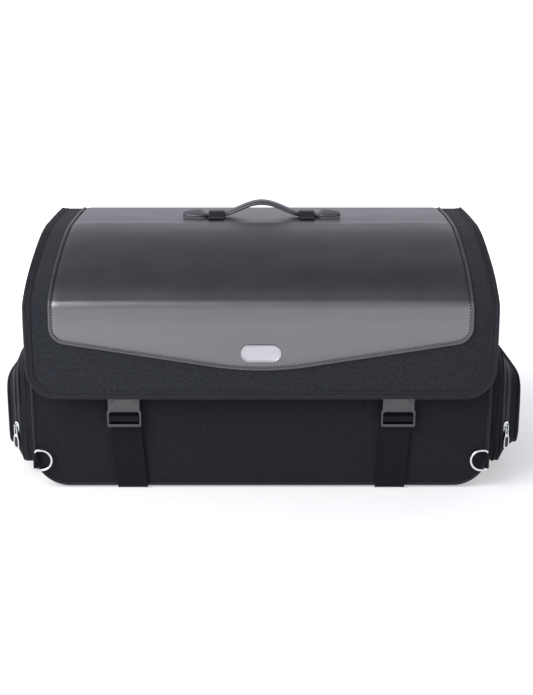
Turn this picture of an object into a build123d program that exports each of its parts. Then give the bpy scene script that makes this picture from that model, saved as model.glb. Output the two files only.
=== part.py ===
"""A soft motorcycle tail bag: a box-shaped cloth body on plastic stiffening sheets, a crowned flap lid with a
leather cover and a carrying handle, two strapped side-release buckles, a zipped pocket on each end and a D-ring
at each lower corner.

Millimetres. X runs to the bag's right as seen from the front, Y to the rear, Z up. The origin is the middle of
the bag's footprint, on the surface that it stands on.
"""

import os
from math import acos, cos, hypot, radians, sin

from build123d import *

# ---------------------------------------------------------------- driving sizes: body
body_width = 594.0  # over the side panels
body_depth = 310.0  # front panel's face to rear panel's face
body_height = 311.5  # underside of the base to the flat rim of the mouth
corner_radius = 45.0  # lower corners, seen from the front
wall = 5.0  # woven outer cloth with its foam
board = 2.0  # plastic stiffening sheet
board_margin = 9.0  # the sheets stop this far inside the seams
lining = 1.0  # inner cloth
ply_gap = 0.1  # between plies that are sewn together
binding = 1.2  # edge tape
mouth_binding_width = 10.0
piping_radius = 2.5
cord_sides = 8  # flats on the section of piping and ring wire
piping_sink = 1.0  # how far the piping's centre lies inside the corner
hinge_strip_height = 28.0
hinge_strip_thickness = 1.0

# ---------------------------------------------------------------- driving sizes: lid
lid_overhang = 3.0  # past each side panel
lid_clearance = 1.0  # above the mouth's rim
lid_edge_height = 123.5  # of the lid's lower edge, above the base's underside
lid_corner_radius = 40.0
lid_lining = 0.9
lid_board = 1.9
lid_cloth = 4.0  # woven cloth with its foam
lid_binding_width = 11.0
crease_radius = 50.0  # where the flat top bends into the crown
crease_angle = 9.0
crown_radius = 500.0
crown_angle = 31.0  # the crown's slope where it meets the shoulder
shoulder_radius = 6.5
leather = 1.6
leather_margin = 33.0  # from the lid's sides
leather_corner_height = 199.5
leather_middle_height = 158.0  # of the lower edge's point, before it is rounded
leather_corner_radius = 22.0
leather_middle_radius = 400.0
badge_width = 51.0
badge_height = 22.0
badge_thickness = 2.0
badge_rim = 1.6
badge_recess = 0.7
badge_centre_height = 185.0
lid_open_angle = 115.0

# ---------------------------------------------------------------- driving sizes: handle
handle_setback = 90.0  # its middle line, ahead of the rear face
handle_thickness = 5.5
handle_width = 30.0
neck_width = 16.0
neck_length = 24.0  # the part that runs through a keeper
grip_half_span = 52.0  # from the middle to a keeper's inner edge
grip_rise = 15.5
grip_foot_radius = 30.0  # of the curve that lifts the grip off the lid
tab_length = 36.0
tab_width = 30.0
tab_tip_width = 14.0
keeper_length = 22.0  # along the handle
keeper_foot = 16.0  # the sewn-down part, on each side
keeper_thickness = 2.0
slip_gap = 0.3  # around what slides or swings
seat_gap = 0.2  # under what is sewn down

# ---------------------------------------------------------------- driving sizes: straps and buckles
strap_spacing = 354.0  # between the two buckles' middles
strap_lean = 8.0  # how far a strap comes in from its buckle to the base
strap_width = 38.0
strap_thickness = 2.0
strap_gap = 0.3  # between the strap and the piping that it turns round
strap_rear_height = 90.0  # of the sewn end on the rear panel, above the ground
buckle_gap = 13.0  # between the front panel and the lid, for the buckles
plug_bottom_height = 83.0  # above the base's underside
frame_width = 44.0
frame_rail = 2.4
frame_bar = 3.8  # the adjuster's lowest bar
window_height = 16.5
middle_bar_height = 5.4
middle_bar_thickness = 3.0
middle_bar_rise = 7.2  # its middle, above the window's lower edge
turn_thickness = 1.6  # webbing where it is pulled round a bar
plate_width = 40.6
plate_height = 17.5
plug_thickness = 6.0
ear_radius = 6.5
arm_length = 26.0
arm_thickness = 4.6
arm_root_radius = 2.2
arm_root_offset = 8.0  # the flexing root, from the buckle's middle
arm_squeeze_angle = 6.0
guide_width = 4.4
guide_length = 21.0
plug_travel = 36.0
socket_width = 45.0
socket_length = 32.0
socket_thickness = 8.4
socket_skin = 1.6
socket_side = 3.6
window_low = 10.0  # a side window's lower end, above the socket's mouth
window_length = 14.0
socket_neck = 4.6  # the slot for the lid's webbing
socket_bar = 4.0
lid_webbing_length = 46.0

# ---------------------------------------------------------------- driving sizes: D-rings
ring_wire_radius = 1.7
ring_half_height = 13.5  # to the wire's middle
ring_leg = 7.4
ring_bend = 2.6
ring_inset = 2.0  # the ring's bar, inside the body's side
ring_height = 35.5  # the ring's middle, above the base's underside
tab_webbing = 1.6
tab_webbing_height = 21.0
tab_leg = 3.2
ring_swing_angle = 170.0

# ---------------------------------------------------------------- driving sizes: end pockets
# Sections of a pocket from its root on the side panel to its outer face:
# how far out, how long front to rear, lowest and highest point above the base's underside.
pocket_root = (0.0, 240.0, 8.0, 213.0)
pocket_waist = (23.0, 228.0, 10.0, 166.0)
pocket_face = (42.0, 192.0, 48.0, 126.0)
pocket_corner_radius = 30.0
pocket_wall = 2.5
zip_out = 30.0  # the zip's middle line, out from the side panel
zip_width = 9.0
zip_tape = 1.0
zip_tape_sink = 0.5
zip_chain = 2.6
zip_chain_proud = 0.4
zip_chain_width = 1.6
zip_chain_gap = 1.6  # between the two halves, where the slider's post runs
zip_end_height = 42.0
pocket_open_angle = 40.0
slider_width = 10.0
slider_length = 13.0
slider_plate = 1.5
slider_height = 65.0  # the slider's middle, above the base's underside
slider_travel = 48.0
post_width = 1.0
post_length = 4.0
bridge_wire = 1.5
bridge_length = 8.0
bridge_rise = 4.0
pull_length = 31.0
pull_eye_width = 6.4
pull_width = 11.5
pull_thickness = 1.8
pull_bar = 1.6
pull_insert_margin = 1.9
pull_swing_angle = 160.0

# ---------------------------------------------------------------- places worked out from the sizes
body_half = body_width / 2
lid_stack = lid_lining + lid_board + lid_cloth + 2 * ply_gap
lid_skin = lid_stack + ply_gap + leather  # the lid's full thickness over the leather
strap_stand_off = piping_radius - piping_sink + strap_gap
ring_stand_off = strap_stand_off + tab_webbing + ply_gap + ring_wire_radius
front_reach = buckle_gap + lid_skin + badge_thickness + ply_gap
rear_reach = ring_stand_off + ring_wire_radius + ply_gap + tab_webbing
middle_y = (front_reach - rear_reach) / 2  # of the body, so that the whole bag's middle is at Y 0
front_y = middle_y - body_depth / 2
rear_y = middle_y + body_depth / 2

base_z = strap_thickness + strap_stand_off
mouth_z = base_z + body_height
lid_top_z = mouth_z + lid_clearance  # the underside of the lid's flat top
lid_front_y = front_y - buckle_gap  # the inner face of the lid's front
crease, slope = radians(crease_angle), radians(crown_angle)
crown_run = (crown_radius - shoulder_radius) * sin(slope) - (crown_radius - crease_radius) * sin(crease)
crown_drop = (crown_radius - crease_radius) * cos(crease) - (crown_radius - shoulder_radius) * cos(slope)
shoulder_z = lid_top_z - crease_radius - crown_drop
shoulder_centre = (lid_front_y + shoulder_radius, shoulder_z)
flat_y = shoulder_centre[0] + crown_run
crease_centre = (flat_y, lid_top_z - crease_radius)
crown_centre = (
    flat_y + (crown_radius - crease_radius) * sin(crease),
    crease_centre[1] - (crown_radius - crease_radius) * cos(crease),
)
lid_half = body_half + lid_overhang
lid_edge_z = base_z + lid_edge_height
leather_top_z = lid_top_z + lid_skin
piping_centre_y = front_y + piping_sink
front_half_middle = Plane.XZ.offset(-middle_y)  # mirrors front pieces to the rear


# ---------------------------------------------------------------- drawing helpers
def front_shape(sketch, y_from, y_to):
    """A sketch drawn in X and Z, made solid between two depths."""
    return Pos(0, y_to, 0) * extrude(Plane.XZ * sketch, amount=y_to - y_from)


def side_shape(sketch, x_from, x_to):
    """A sketch drawn in Y and Z, made solid between two places across the bag."""
    return Pos(x_from, 0, 0) * extrude(Plane.YZ * sketch, amount=x_to - x_from)


def plan_shape(sketch, z_from, z_to):
    """A sketch drawn in X and Y, made solid between two heights."""
    return Pos(0, 0, z_from) * extrude(sketch, amount=z_to - z_from)


def block(x_from, x_to, y_from, y_to, z_from, z_to):
    """A box between two corners."""
    size = (x_to - x_from, y_to - y_from, z_to - z_from)
    middle = ((x_from + x_to) / 2, (y_from + y_to) / 2, (z_from + z_to) / 2)
    return Pos(*middle) * Box(*size)


def upright(low, high, left, right):
    """A rectangle between two heights and two places along the sketch's own X."""
    return Pos((left + right) / 2, (low + high) / 2) * Rectangle(right - left, high - low)


def polar(centre, radius, angle):
    """The point at an angle in radians, counted from straight up towards the bag's front."""
    return (centre[0] - radius * sin(angle), centre[1] + radius * cos(angle))


def crown_line(offset, low_z):
    """The lid's side profile in Y and Z, from the rear over the crown and down the front: its inner face, offset."""
    bends = (
        (crease_centre, crease_radius, 0.0, crease),
        (crown_centre, crown_radius, crease, slope),
        (shoulder_centre, shoulder_radius, slope, radians(90)),
    )
    line, last = [], (rear_y, lid_top_z + offset)
    for centre, radius, start, end in bends:
        first, middle, stop = (polar(centre, radius + offset, angle) for angle in (start, (start + end) / 2, end))
        line += [Line(last, first)] if hypot(first[0] - last[0], first[1] - last[1]) > 0.001 else []
        line += [ThreePointArc(first, middle, stop)]
        last = stop
    return line + [Line(last, (lid_front_y - offset, low_z))]


def crown_band(inner, outer, low_z=None):
    """The section of a ply of the lid, between two offsets."""
    low_z = lid_edge_z if low_z is None else low_z
    outside, inside = crown_line(outer, low_z), crown_line(inner, low_z)
    ends = [Line(outside[0] @ 0, inside[0] @ 0), Line(outside[-1] @ 1, inside[-1] @ 1)]
    return make_face(Wire(outside + inside + ends))


def under_crown(offset, low_z):
    """Everything below the lid's profile, down to a height, as a section."""
    line = crown_line(offset, low_z)
    rear_low = (rear_y, low_z)
    return make_face(Wire(line + [Line(line[-1] @ 1, rear_low), Line(rear_low, line[0] @ 0)]))


def tub(half_width, low, high, radius):
    """A front view with rounded lower corners."""
    outline = upright(low, high, -half_width, half_width)
    return fillet(outline.vertices().sort_by(Axis.Y)[:2], radius)


def mirrored(shape):
    """The same piece on the bag's left."""
    return mirror(shape, about=Plane.YZ)


def at_rear(shape):
    """The same piece on the bag's rear face."""
    return mirror(shape, about=front_half_middle)


nodes = {}


def both_sides(name, shape):
    """Keeps a piece of the bag's right side and its mirror image."""
    nodes[name + "_right"] = shape
    nodes[name + "_left"] = mirrored(shape)


# ---------------------------------------------------------------- body
def body_section(inset):
    """The body's front view, drawn in from its outer face."""
    return tub(body_half - inset, base_z + inset, lid_top_z, corner_radius - inset)


def piping_path(top):
    """Down one side of the front panel from a height, along its lower edge and up the other side."""
    side, low = body_half - piping_sink, base_z + piping_sink
    bend = corner_radius - piping_sink
    turn = bend * (1 - cos(radians(45)))
    return Wire(
        [
            Line((-side, top), (-side, low + bend)),
            ThreePointArc((-side, low + bend), (-side + turn, low + turn), (-side + bend, low)),
            Line((-side + bend, low), (side - bend, low)),
            ThreePointArc((side - bend, low), (side - turn, low + turn), (side, low + bend)),
            Line((side, low + bend), (side, top)),
        ]
    )


def front_top_z():
    """Where the mouth's rim crosses the front panel's outer face."""
    reach = crown_radius - lid_clearance - binding
    across = crown_centre[0] - front_y
    return crown_centre[1] + (reach**2 - across**2) ** 0.5


def round_wire(path, radius):
    """The section of a cord or wire at the start of its path."""
    turned = Plane(origin=path @ 0, x_dir=(0, 1, 0), z_dir=path % 0)
    return turned * RegularPolygon(radius, cord_sides, rotation=180 / cord_sides)


def piping(radius, top_z):
    """Round piping along the front panel's outline, up to a height."""
    path = Pos(0, piping_centre_y, 0) * (Plane.XZ * piping_path(top_z))
    return sweep(round_wire(path, radius), path=path)


def body():
    """The sewn cloth panels, their stiffening sheets, the lining and the piping."""
    rim = -lid_clearance
    under_rim = side_shape(under_crown(rim - binding - ply_gap, base_z), -body_half, body_half)
    groove = piping(piping_radius + 2 * ply_gap, mouth_z)
    rear_groove = at_rear(groove)
    panel = front_shape(body_section(0), front_y, front_y + wall) & under_rim
    nodes["front_panel"] = panel - groove
    rear = front_shape(body_section(0), rear_y - wall, rear_y) & under_rim
    nodes["rear_panel"] = rear - rear_groove

    ring = body_section(0) - body_section(wall)
    gusset = front_shape(ring, front_y + wall, rear_y - wall) & under_rim
    gusset = gusset - groove - rear_groove
    seam_z = base_z + corner_radius
    nodes["base_panel"] = gusset & block(-body_half, body_half, front_y, rear_y, base_z, seam_z)
    both_sides("side_panel", gusset & block(0, body_half, front_y, rear_y, seam_z, mouth_z))

    inside = wall + ply_gap
    sheet = inside + board
    half, low = body_half - sheet - ply_gap, base_z + corner_radius + board_margin
    under_sheet = side_shape(under_crown(rim - board_margin, base_z), -body_half, body_half)
    upright_sheet = upright(low, mouth_z, -half + board_margin, half - board_margin)
    nodes["front_board"] = front_shape(upright_sheet, front_y + inside, front_y + sheet) & under_sheet
    nodes["rear_board"] = front_shape(upright_sheet, rear_y - sheet, rear_y - inside) & under_sheet
    side_sheet = block(
        body_half - sheet, body_half - inside, front_y + sheet + board_margin, rear_y - sheet - board_margin, low, mouth_z
    )
    both_sides("side_board", side_sheet & under_sheet)
    base_half = body_half - corner_radius
    nodes["base_board"] = block(
        -base_half, base_half, front_y + board_margin, rear_y - board_margin, base_z + inside, base_z + sheet
    )

    tub_outside = front_shape(body_section(sheet + ply_gap), front_y + sheet + ply_gap, rear_y - sheet - ply_gap)
    depth = sheet + ply_gap + lining
    tub_inside = front_shape(body_section(depth), front_y + depth, rear_y - depth)
    nodes["lining"] = (tub_outside - tub_inside) & under_rim

    rim_ply = side_shape(crown_band(rim - binding, rim, base_z), -body_half, body_half)
    frame = upright(front_y, rear_y, -body_half, body_half) - upright(
        front_y + mouth_binding_width,
        rear_y - mouth_binding_width,
        -body_half + mouth_binding_width,
        body_half - mouth_binding_width,
    )
    nodes["mouth_binding"] = rim_ply & plan_shape(frame, base_z + corner_radius, mouth_z + 1)

    nodes["piping_front"] = piping(piping_radius, front_top_z() - binding)
    nodes["piping_rear"] = at_rear(piping(piping_radius, mouth_z - hinge_strip_height))
    nodes["hinge_strip"] = block(
        -body_half,
        body_half,
        rear_y + ply_gap,
        rear_y + ply_gap + hinge_strip_thickness,
        mouth_z - hinge_strip_height + ply_gap,
        mouth_z - ply_gap,
    )


# ---------------------------------------------------------------- lid
def lid_outline(inset):
    """The lid's front view, drawn in from its sides and lower edge."""
    top = leather_top_z + handle_thickness
    return tub(lid_half - inset, lid_edge_z + inset, top, max(lid_corner_radius - inset, 1))


def lid_ply(inner, outer, outline):
    """A ply of the lid that follows the crown, cut to a front view."""
    sheet = side_shape(crown_band(inner, outer), -lid_half, lid_half)
    return sheet & front_shape(outline, lid_front_y - 2 * lid_skin, rear_y)


def leather_outline():
    """The cover's front view: straight sides, round corners and a lower edge that dips to the middle."""
    half, top = lid_half - leather_margin, leather_top_z + 1
    corner, middle = base_z + leather_corner_height, base_z + leather_middle_height
    outline = make_face(Polyline((-half, top), (-half, corner), (0, middle), (half, corner), (half, top), close=True))
    lowest = outline.vertices().sort_by(Axis.Y)
    rounded = fillet(lowest[0], leather_middle_radius)
    corners = [v for v in rounded.vertices() if abs(abs(v.X) - half) < 0.01 and v.Y < top - 1]
    return fillet(corners, leather_corner_radius)


def lid():
    """The lid's plies, edge binding, leather cover and badge."""
    under_board = lid_lining + ply_gap
    under_cloth = under_board + lid_board + ply_gap
    back = binding + ply_gap
    nodes["lid_lining"] = lid_ply(0, lid_lining, lid_outline(lid_binding_width + ply_gap))
    nodes["lid_board"] = lid_ply(under_board, under_board + lid_board, lid_outline(lid_binding_width + ply_gap))
    nodes["lid_panel"] = lid_ply(under_cloth, lid_stack, lid_outline(back))

    tape_in, tape_out = under_cloth - ply_gap - binding, lid_stack + ply_gap + binding
    hem = lid_outline(0) - lid_outline(lid_binding_width)
    tape = lid_ply(tape_in, tape_out, hem)
    channel = lid_ply(under_cloth - ply_gap, lid_stack + ply_gap, lid_outline(binding))
    nodes["lid_binding"] = tape - channel

    cover = lid_stack + ply_gap
    nodes["lid_leather"] = lid_ply(cover, cover + leather, leather_outline())

    badge_back = lid_front_y - lid_skin - ply_gap
    badge_face = badge_back - badge_thickness
    centre = Pos(0, base_z + badge_centre_height)
    plate = front_shape(centre * SlotOverall(badge_width, badge_height), badge_face, badge_back)
    field = centre * SlotOverall(badge_width - 2 * badge_rim, badge_height - 2 * badge_rim)
    nodes["badge"] = plate - front_shape(field, badge_face, badge_face + badge_recess)

    rise = lid_stack - 2 * binding
    nodes["lid_hinge_tape"] = block(
        -lid_half + lid_binding_width + ply_gap,
        lid_half - lid_binding_width - ply_gap,
        rear_y + ply_gap,
        rear_y + ply_gap + hinge_strip_thickness,
        lid_top_z + 2 * binding,
        lid_top_z + 2 * binding + rise,
    )


# ---------------------------------------------------------------- handle
def grip_line(offset):
    """The grip's front view from keeper to keeper, offset from its middle line."""
    floor = leather_top_z + seat_gap + handle_thickness / 2
    turn = 2 * atan_ratio(grip_rise, grip_half_span)
    total = grip_half_span / sin(turn)
    crest = total - grip_foot_radius
    foot_centre = (grip_half_span, floor + grip_foot_radius)
    crest_centre = (0, floor + grip_rise - crest)

    def foot(angle, side):
        radius = grip_foot_radius - offset
        return (side * (foot_centre[0] - radius * sin(angle)), foot_centre[1] - radius * cos(angle))

    left, right, top = foot(0, -1), foot(0, 1), (0, crest_centre[1] + crest + offset)
    end = grip_half_span + neck_length
    return [
        Line((-end, floor + offset), left),
        ThreePointArc(left, foot(turn / 2, -1), foot(turn, -1)),
        ThreePointArc(foot(turn, -1), top, foot(turn, 1)),
        ThreePointArc(foot(turn, 1), foot(turn / 2, 1), right),
        Line(right, (end, floor + offset)),
    ]


def atan_ratio(rise, run):
    """The angle whose tangent is rise over run."""
    return acos(run / hypot(rise, run))


def handle():
    """A bowed leather grip whose two end tabs slide under sewn keepers."""
    handle_y = rear_y - handle_setback
    floor = leather_top_z + seat_gap
    end = grip_half_span + neck_length
    outside, inside = grip_line(handle_thickness / 2), grip_line(-handle_thickness / 2)
    caps = [Line(outside[0] @ 0, inside[0] @ 0), Line(outside[-1] @ 1, inside[-1] @ 1)]
    bow = front_shape(make_face(Wire(outside + inside + caps)), handle_y - handle_width / 2, handle_y + handle_width / 2)
    flare = grip_half_span * 0.55
    plan = make_face(
        Polyline(
            (-end, -neck_width / 2),
            (-grip_half_span, -neck_width / 2),
            (-flare, -handle_width / 2),
            (flare, -handle_width / 2),
            (grip_half_span, -neck_width / 2),
            (end, -neck_width / 2),
            (end, neck_width / 2),
            (grip_half_span, neck_width / 2),
            (flare, handle_width / 2),
            (-flare, handle_width / 2),
            (-grip_half_span, neck_width / 2),
            (-end, neck_width / 2),
            close=True,
        )
    )
    bends = [v for v in plan.vertices() if abs(v.X) < end - 1]
    plan = fillet(bends, neck_width / 2)
    nodes["handle_grip"] = bow & plan_shape(Pos(0, handle_y) * plan, floor - 1, floor + grip_rise + 2 * handle_thickness)

    tip = end + ply_gap + tab_length
    tab_plan = make_face(
        Polyline(
            (end + ply_gap, -tab_width / 2),
            (tip, -tab_tip_width / 2),
            (tip, tab_tip_width / 2),
            (end + ply_gap, tab_width / 2),
            close=True,
        )
    )
    tab_plan = fillet(tab_plan.vertices(), tab_tip_width / 3)
    tab = plan_shape(Pos(0, handle_y) * tab_plan, floor, floor + handle_thickness)
    both_sides("handle_tab", tab)

    inner_half = neck_width / 2 + slip_gap
    inner_top = floor + handle_thickness + slip_gap
    outer_half = inner_half + keeper_thickness
    foot_low = leather_top_z + seat_gap / 2
    section = upright(foot_low, inner_top + keeper_thickness, -outer_half, outer_half)
    section += upright(foot_low, foot_low + keeper_thickness, -outer_half - keeper_foot, outer_half + keeper_foot)
    section -= upright(foot_low - 1, inner_top, -inner_half, inner_half)
    keeper_in = grip_half_span + (neck_length - keeper_length) / 2
    keeper = side_shape(Pos(handle_y, 0) * section, keeper_in, keeper_in + keeper_length)
    nodes["handle_keepers"] = Compound([keeper, mirrored(keeper)])


# ---------------------------------------------------------------- straps and buckles
plug_z = base_z + plug_bottom_height
window_z = plug_z + frame_bar
plate_z = window_z + window_height
mouth_of_socket_z = plate_z + plate_height
plug_back_y = front_y - strap_stand_off - strap_thickness - slip_gap
plug_front_y = plug_back_y - plug_thickness
buckle_y = (plug_back_y + plug_front_y) / 2
buckle_x = strap_spacing / 2
ear_centre = (plate_width / 2, mouth_of_socket_z)
arm_pivot = (arm_root_offset, mouth_of_socket_z + slip_gap + arm_root_radius)


def strap():
    """Webbing from behind the adjuster down the front, under the base and up the rear panel."""
    out = strap_stand_off + strap_thickness
    bend = piping_radius + strap_gap
    rim = max(plate_z, strap_rear_height) + 1
    outside = Pos(middle_y, 0) * tub(body_depth / 2 + out, 0, rim, bend + strap_thickness)
    inside = Pos(middle_y, 0) * tub(body_depth / 2 + strap_stand_off, strap_thickness, rim + 1, bend)
    low_x, half = buckle_x - strap_lean, strap_width / 2
    loop = side_shape(outside - inside, low_x - half, low_x + half)
    x_from, x_to = low_x - strap_width, buckle_x + strap_width
    bend_z, top_z = bend + strap_thickness, plate_z + plate_height / 3
    loop -= block(x_from, x_to, front_y - 2 * out, middle_y, bend_z, rim + plate_height)
    loop -= block(x_from, x_to, middle_y, rear_y + 2 * out, strap_rear_height, rim + plate_height)
    leg = Polyline(
        (low_x - half, bend_z), (low_x + half, bend_z), (buckle_x + half, top_z), (buckle_x - half, top_z), close=True
    )
    return loop + front_shape(make_face(leg), front_y - out, front_y - strap_stand_off)


def bar_turn(bar_height, bar_thickness, y, z):
    """Webbing pulled once round a bar, as a section in Y and Z."""
    reach = 2 * (ply_gap + turn_thickness)
    gap = 2 * ply_gap
    outside = RectangleRounded(bar_thickness + reach, bar_height + reach, (bar_thickness + reach) / 2.2)
    inside = RectangleRounded(bar_thickness + gap, bar_height + gap, (bar_thickness + gap) / 2.2)
    return Pos(y, z) * (outside - inside)


def rounded_bar(bar_height, bar_thickness, y, z):
    """A bar's section in Y and Z."""
    return Pos(y, z) * RectangleRounded(bar_thickness, bar_height, bar_thickness / 2.2)


def plug():
    """The moulded half on the strap: adjuster window, plate with hollowed shoulders and centre guide."""
    half = frame_width / 2
    window_half = half - frame_rail
    frame = upright(plug_z, plate_z + frame_rail, -half, half)
    frame = fillet(frame.vertices(), frame_rail)
    window = upright(window_z, plate_z, -window_half, window_half)
    window = chamfer(window.vertices().sort_by(Axis.Y)[2:], frame_rail)
    plate = upright(plate_z, mouth_of_socket_z, -plate_width / 2, plate_width / 2)
    notch = Circle(ear_radius + slip_gap)
    plate -= Pos(*ear_centre) * notch + Pos(-ear_centre[0], ear_centre[1]) * notch
    guide = upright(mouth_of_socket_z - 1, mouth_of_socket_z + guide_length, -guide_width / 2, guide_width / 2)
    guide = fillet(guide.vertices().sort_by(Axis.Y)[2:], guide_width / 3)
    thin = (plug_thickness - arm_thickness) / 2
    moulding = front_shape(frame + plate - window, plug_front_y, plug_back_y)
    moulding += front_shape(guide, plug_front_y + thin, plug_back_y - thin)
    bar_y = buckle_y - (plug_thickness - middle_bar_thickness) / 4
    bar_z = window_z + middle_bar_rise
    bar = rounded_bar(middle_bar_height, middle_bar_thickness, bar_y, bar_z)
    moulding += side_shape(bar, -window_half - frame_rail / 2, window_half + frame_rail / 2)
    turn = bar_turn(middle_bar_height, middle_bar_thickness, bar_y, bar_z)
    webbing = side_shape(turn, -strap_width / 2, strap_width / 2)
    both_sides("buckle_plug", Pos(buckle_x, 0, 0) * moulding)
    both_sides("strap_turn", Pos(buckle_x, 0, 0) * webbing)


def arm():
    """A flexing side arm of the plug, right-hand one of the pair, about its round root."""
    x, z = arm_pivot
    cavity_half = socket_width / 2 - socket_side
    out = cavity_half - slip_gap
    top = mouth_of_socket_z + arm_length
    root = arm_root_radius
    blade = make_face(
        Polyline(
            (x - root, z),
            (x - root * 0.6, z + arm_length * 0.3),
            (out - 2.6 * root, top - root),
            (out - 2.2 * root, top),
            (out - 0.8 * root, top),
            (out, top - 3 * root),
            (out, top - 5.5 * root),
            (x + root * 1.3, z + arm_length * 0.2),
            (x + root, z),
            close=True,
        )
    )
    blade = fillet(blade.vertices().sort_by(Axis.Y)[2:], root / 3)
    thin = (plug_thickness - arm_thickness) / 2
    return front_shape(blade + Pos(x, z) * Circle(root), plug_front_y + thin, plug_back_y - thin)


def socket():
    """The moulded half under the lid: a flat sleeve with side windows, ears on its front skin and a slotted neck."""
    half = socket_width / 2
    cavity_half = half - socket_side
    mouth, top = mouth_of_socket_z + slip_gap / 3, mouth_of_socket_z + socket_length
    back_y, face_y = buckle_y + socket_thickness / 2, buckle_y - socket_thickness / 2
    shell = upright(mouth, top, -half, half)
    shell = fillet(shell.vertices().sort_by(Axis.Y)[2:], socket_side)
    sleeve = front_shape(shell, face_y, back_y)
    cavity = upright(mouth - 1, top - socket_skin, -cavity_half, cavity_half)
    sleeve -= front_shape(cavity, face_y + socket_skin, back_y - socket_skin)
    cheek = upright(mouth + window_low, mouth + window_low + window_length, cavity_half - 1, half + 1)
    sleeve -= front_shape(cheek + mirror(cheek, about=Plane.YZ), face_y + socket_skin, back_y - socket_skin)

    disc = Pos(*ear_centre) * Circle(ear_radius)
    quarter = disc & upright(ear_centre[1] - ear_radius, ear_centre[1], 0, ear_centre[0])
    quarter += upright(ear_centre[1] - 0.01, mouth + socket_skin, ear_centre[0] - ear_radius, ear_centre[0])
    sleeve += front_shape(quarter + mirror(quarter, about=Plane.YZ), face_y, face_y + socket_skin)

    neck_half = strap_width / 2 + slip_gap
    bar_y = lid_webbing_y() + turn_thickness / 2 + ply_gap + turn_thickness / 2 + middle_bar_thickness / 2
    bar_z = top + socket_neck + socket_bar / 2
    cheek_low, cheek_high = top - socket_side, bar_z + socket_bar / 2
    rail = upright(cheek_low, cheek_high, neck_half, neck_half + frame_rail)
    rails = front_shape(rail + mirror(rail, about=Plane.YZ), face_y, back_y - socket_skin)
    bar = rounded_bar(socket_bar, middle_bar_thickness, bar_y, bar_z)
    sleeve += rails + side_shape(bar, -neck_half - frame_rail / 2, neck_half + frame_rail / 2)
    both_sides("buckle_socket", Pos(buckle_x, 0, 0) * sleeve)

    turn = bar_turn(socket_bar, middle_bar_thickness, bar_y, bar_z)
    face = lid_webbing_y() - turn_thickness / 2
    turn += upright(bar_z, bar_z + lid_webbing_length, face, face + turn_thickness)
    webbing = side_shape(turn, -strap_width / 2, strap_width / 2)
    inner_bar = RectangleRounded(middle_bar_thickness + 2 * ply_gap, socket_bar + 2 * ply_gap, middle_bar_thickness / 2.2)
    webbing -= side_shape(Pos(bar_y, bar_z) * inner_bar, -strap_width, strap_width)
    both_sides("lid_webbing", Pos(buckle_x, 0, 0) * webbing)


def lid_webbing_y():
    """The middle of the webbing that is sewn to the lid's inner face."""
    return lid_front_y + slip_gap + turn_thickness / 2


def buckles():
    """Both straps with their buckles."""
    both_sides("strap", strap())
    plug()
    outer = arm()
    inner = mirrored(outer)
    both_sides("plug_arm_outer", Pos(buckle_x, 0, 0) * outer)
    both_sides("plug_arm_inner", Pos(buckle_x, 0, 0) * inner)
    socket()


# ---------------------------------------------------------------- D-rings
ring_x = body_half - ring_inset
ring_y = front_y - ring_stand_off
ring_z = base_z + ring_height


def d_ring():
    """A wire D whose straight bar stands upright and whose bow points to the bag's middle."""
    high, bend = ring_half_height, ring_bend
    turn = bend * (1 - cos(radians(45)))
    wire = Wire(
        [
            Line((0, -high + bend), (0, high - bend)),
            ThreePointArc((0, high - bend), (-turn, high - turn), (-bend, high)),
            Line((-bend, high), (-ring_leg, high)),
            ThreePointArc((-ring_leg, high), (-ring_leg - high, 0), (-ring_leg, -high)),
            Line((-ring_leg, -high), (-bend, -high)),
            ThreePointArc((-bend, -high), (-turn, -high + turn), (0, -high + bend)),
        ]
    )
    path = Pos(ring_x, ring_y, ring_z) * (Plane.XZ * wire)
    return sweep(round_wire(path, ring_wire_radius), path=path)


def ring_tab():
    """A loop of webbing round the D-ring's bar, with its end sewn into the corner seam."""
    loop = Circle(ring_wire_radius + ply_gap + tab_webbing)
    end_y = ring_wire_radius + ply_gap + tab_webbing / 2
    end = Pos(tab_leg - tab_webbing / 2, end_y) * Rectangle(tab_webbing, tab_webbing)
    outline = make_hull([*loop.edges(), *end.edges()])
    section = Pos(ring_x, ring_y) * (outline - Circle(ring_wire_radius + ply_gap))
    return plan_shape(section, ring_z - tab_webbing_height / 2, ring_z + tab_webbing_height / 2)


def rings():
    """The four D-rings and the loops that hold them."""
    ring, tab = d_ring(), ring_tab()
    both_sides("d_ring_front", ring)
    both_sides("d_ring_rear", at_rear(ring))
    nodes["d_ring_tabs"] = Compound([tab, mirrored(tab), at_rear(tab), at_rear(mirrored(tab))])


# ---------------------------------------------------------------- end pockets
def pocket_size(out):
    """A pocket's length, lowest and highest point at a distance out from the side panel."""
    near, far = (pocket_root, pocket_waist) if out <= pocket_waist[0] else (pocket_waist, pocket_face)
    share = (out - near[0]) / (far[0] - near[0])
    return [a + (b - a) * share for a, b in zip(near[1:], far[1:])]


def pocket_section(out, inset):
    """A slice of the pocket, drawn in from its surface."""
    length, low, high = pocket_size(max(out, 0.0))
    outline = RectangleRounded(length - 2 * inset, high - low - 2 * inset, pocket_corner_radius - inset)
    return Plane.YZ.offset(body_half + out) * Pos(middle_y, base_z + (low + high) / 2) * outline


def pocket_body(inset, face_inset):
    """The pocket's bulk, from inside the body's lower corner out to its face."""
    stops = [-corner_radius * 0.6, 0.0, pocket_waist[0], pocket_face[0] - face_inset]
    return loft([pocket_section(out, inset) for out in stops], ruled=True)


def pocket_layer(near, far):
    """The pocket's shell between two depths below its surface."""
    return pocket_body(near, near) - pocket_body(far, far)


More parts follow.
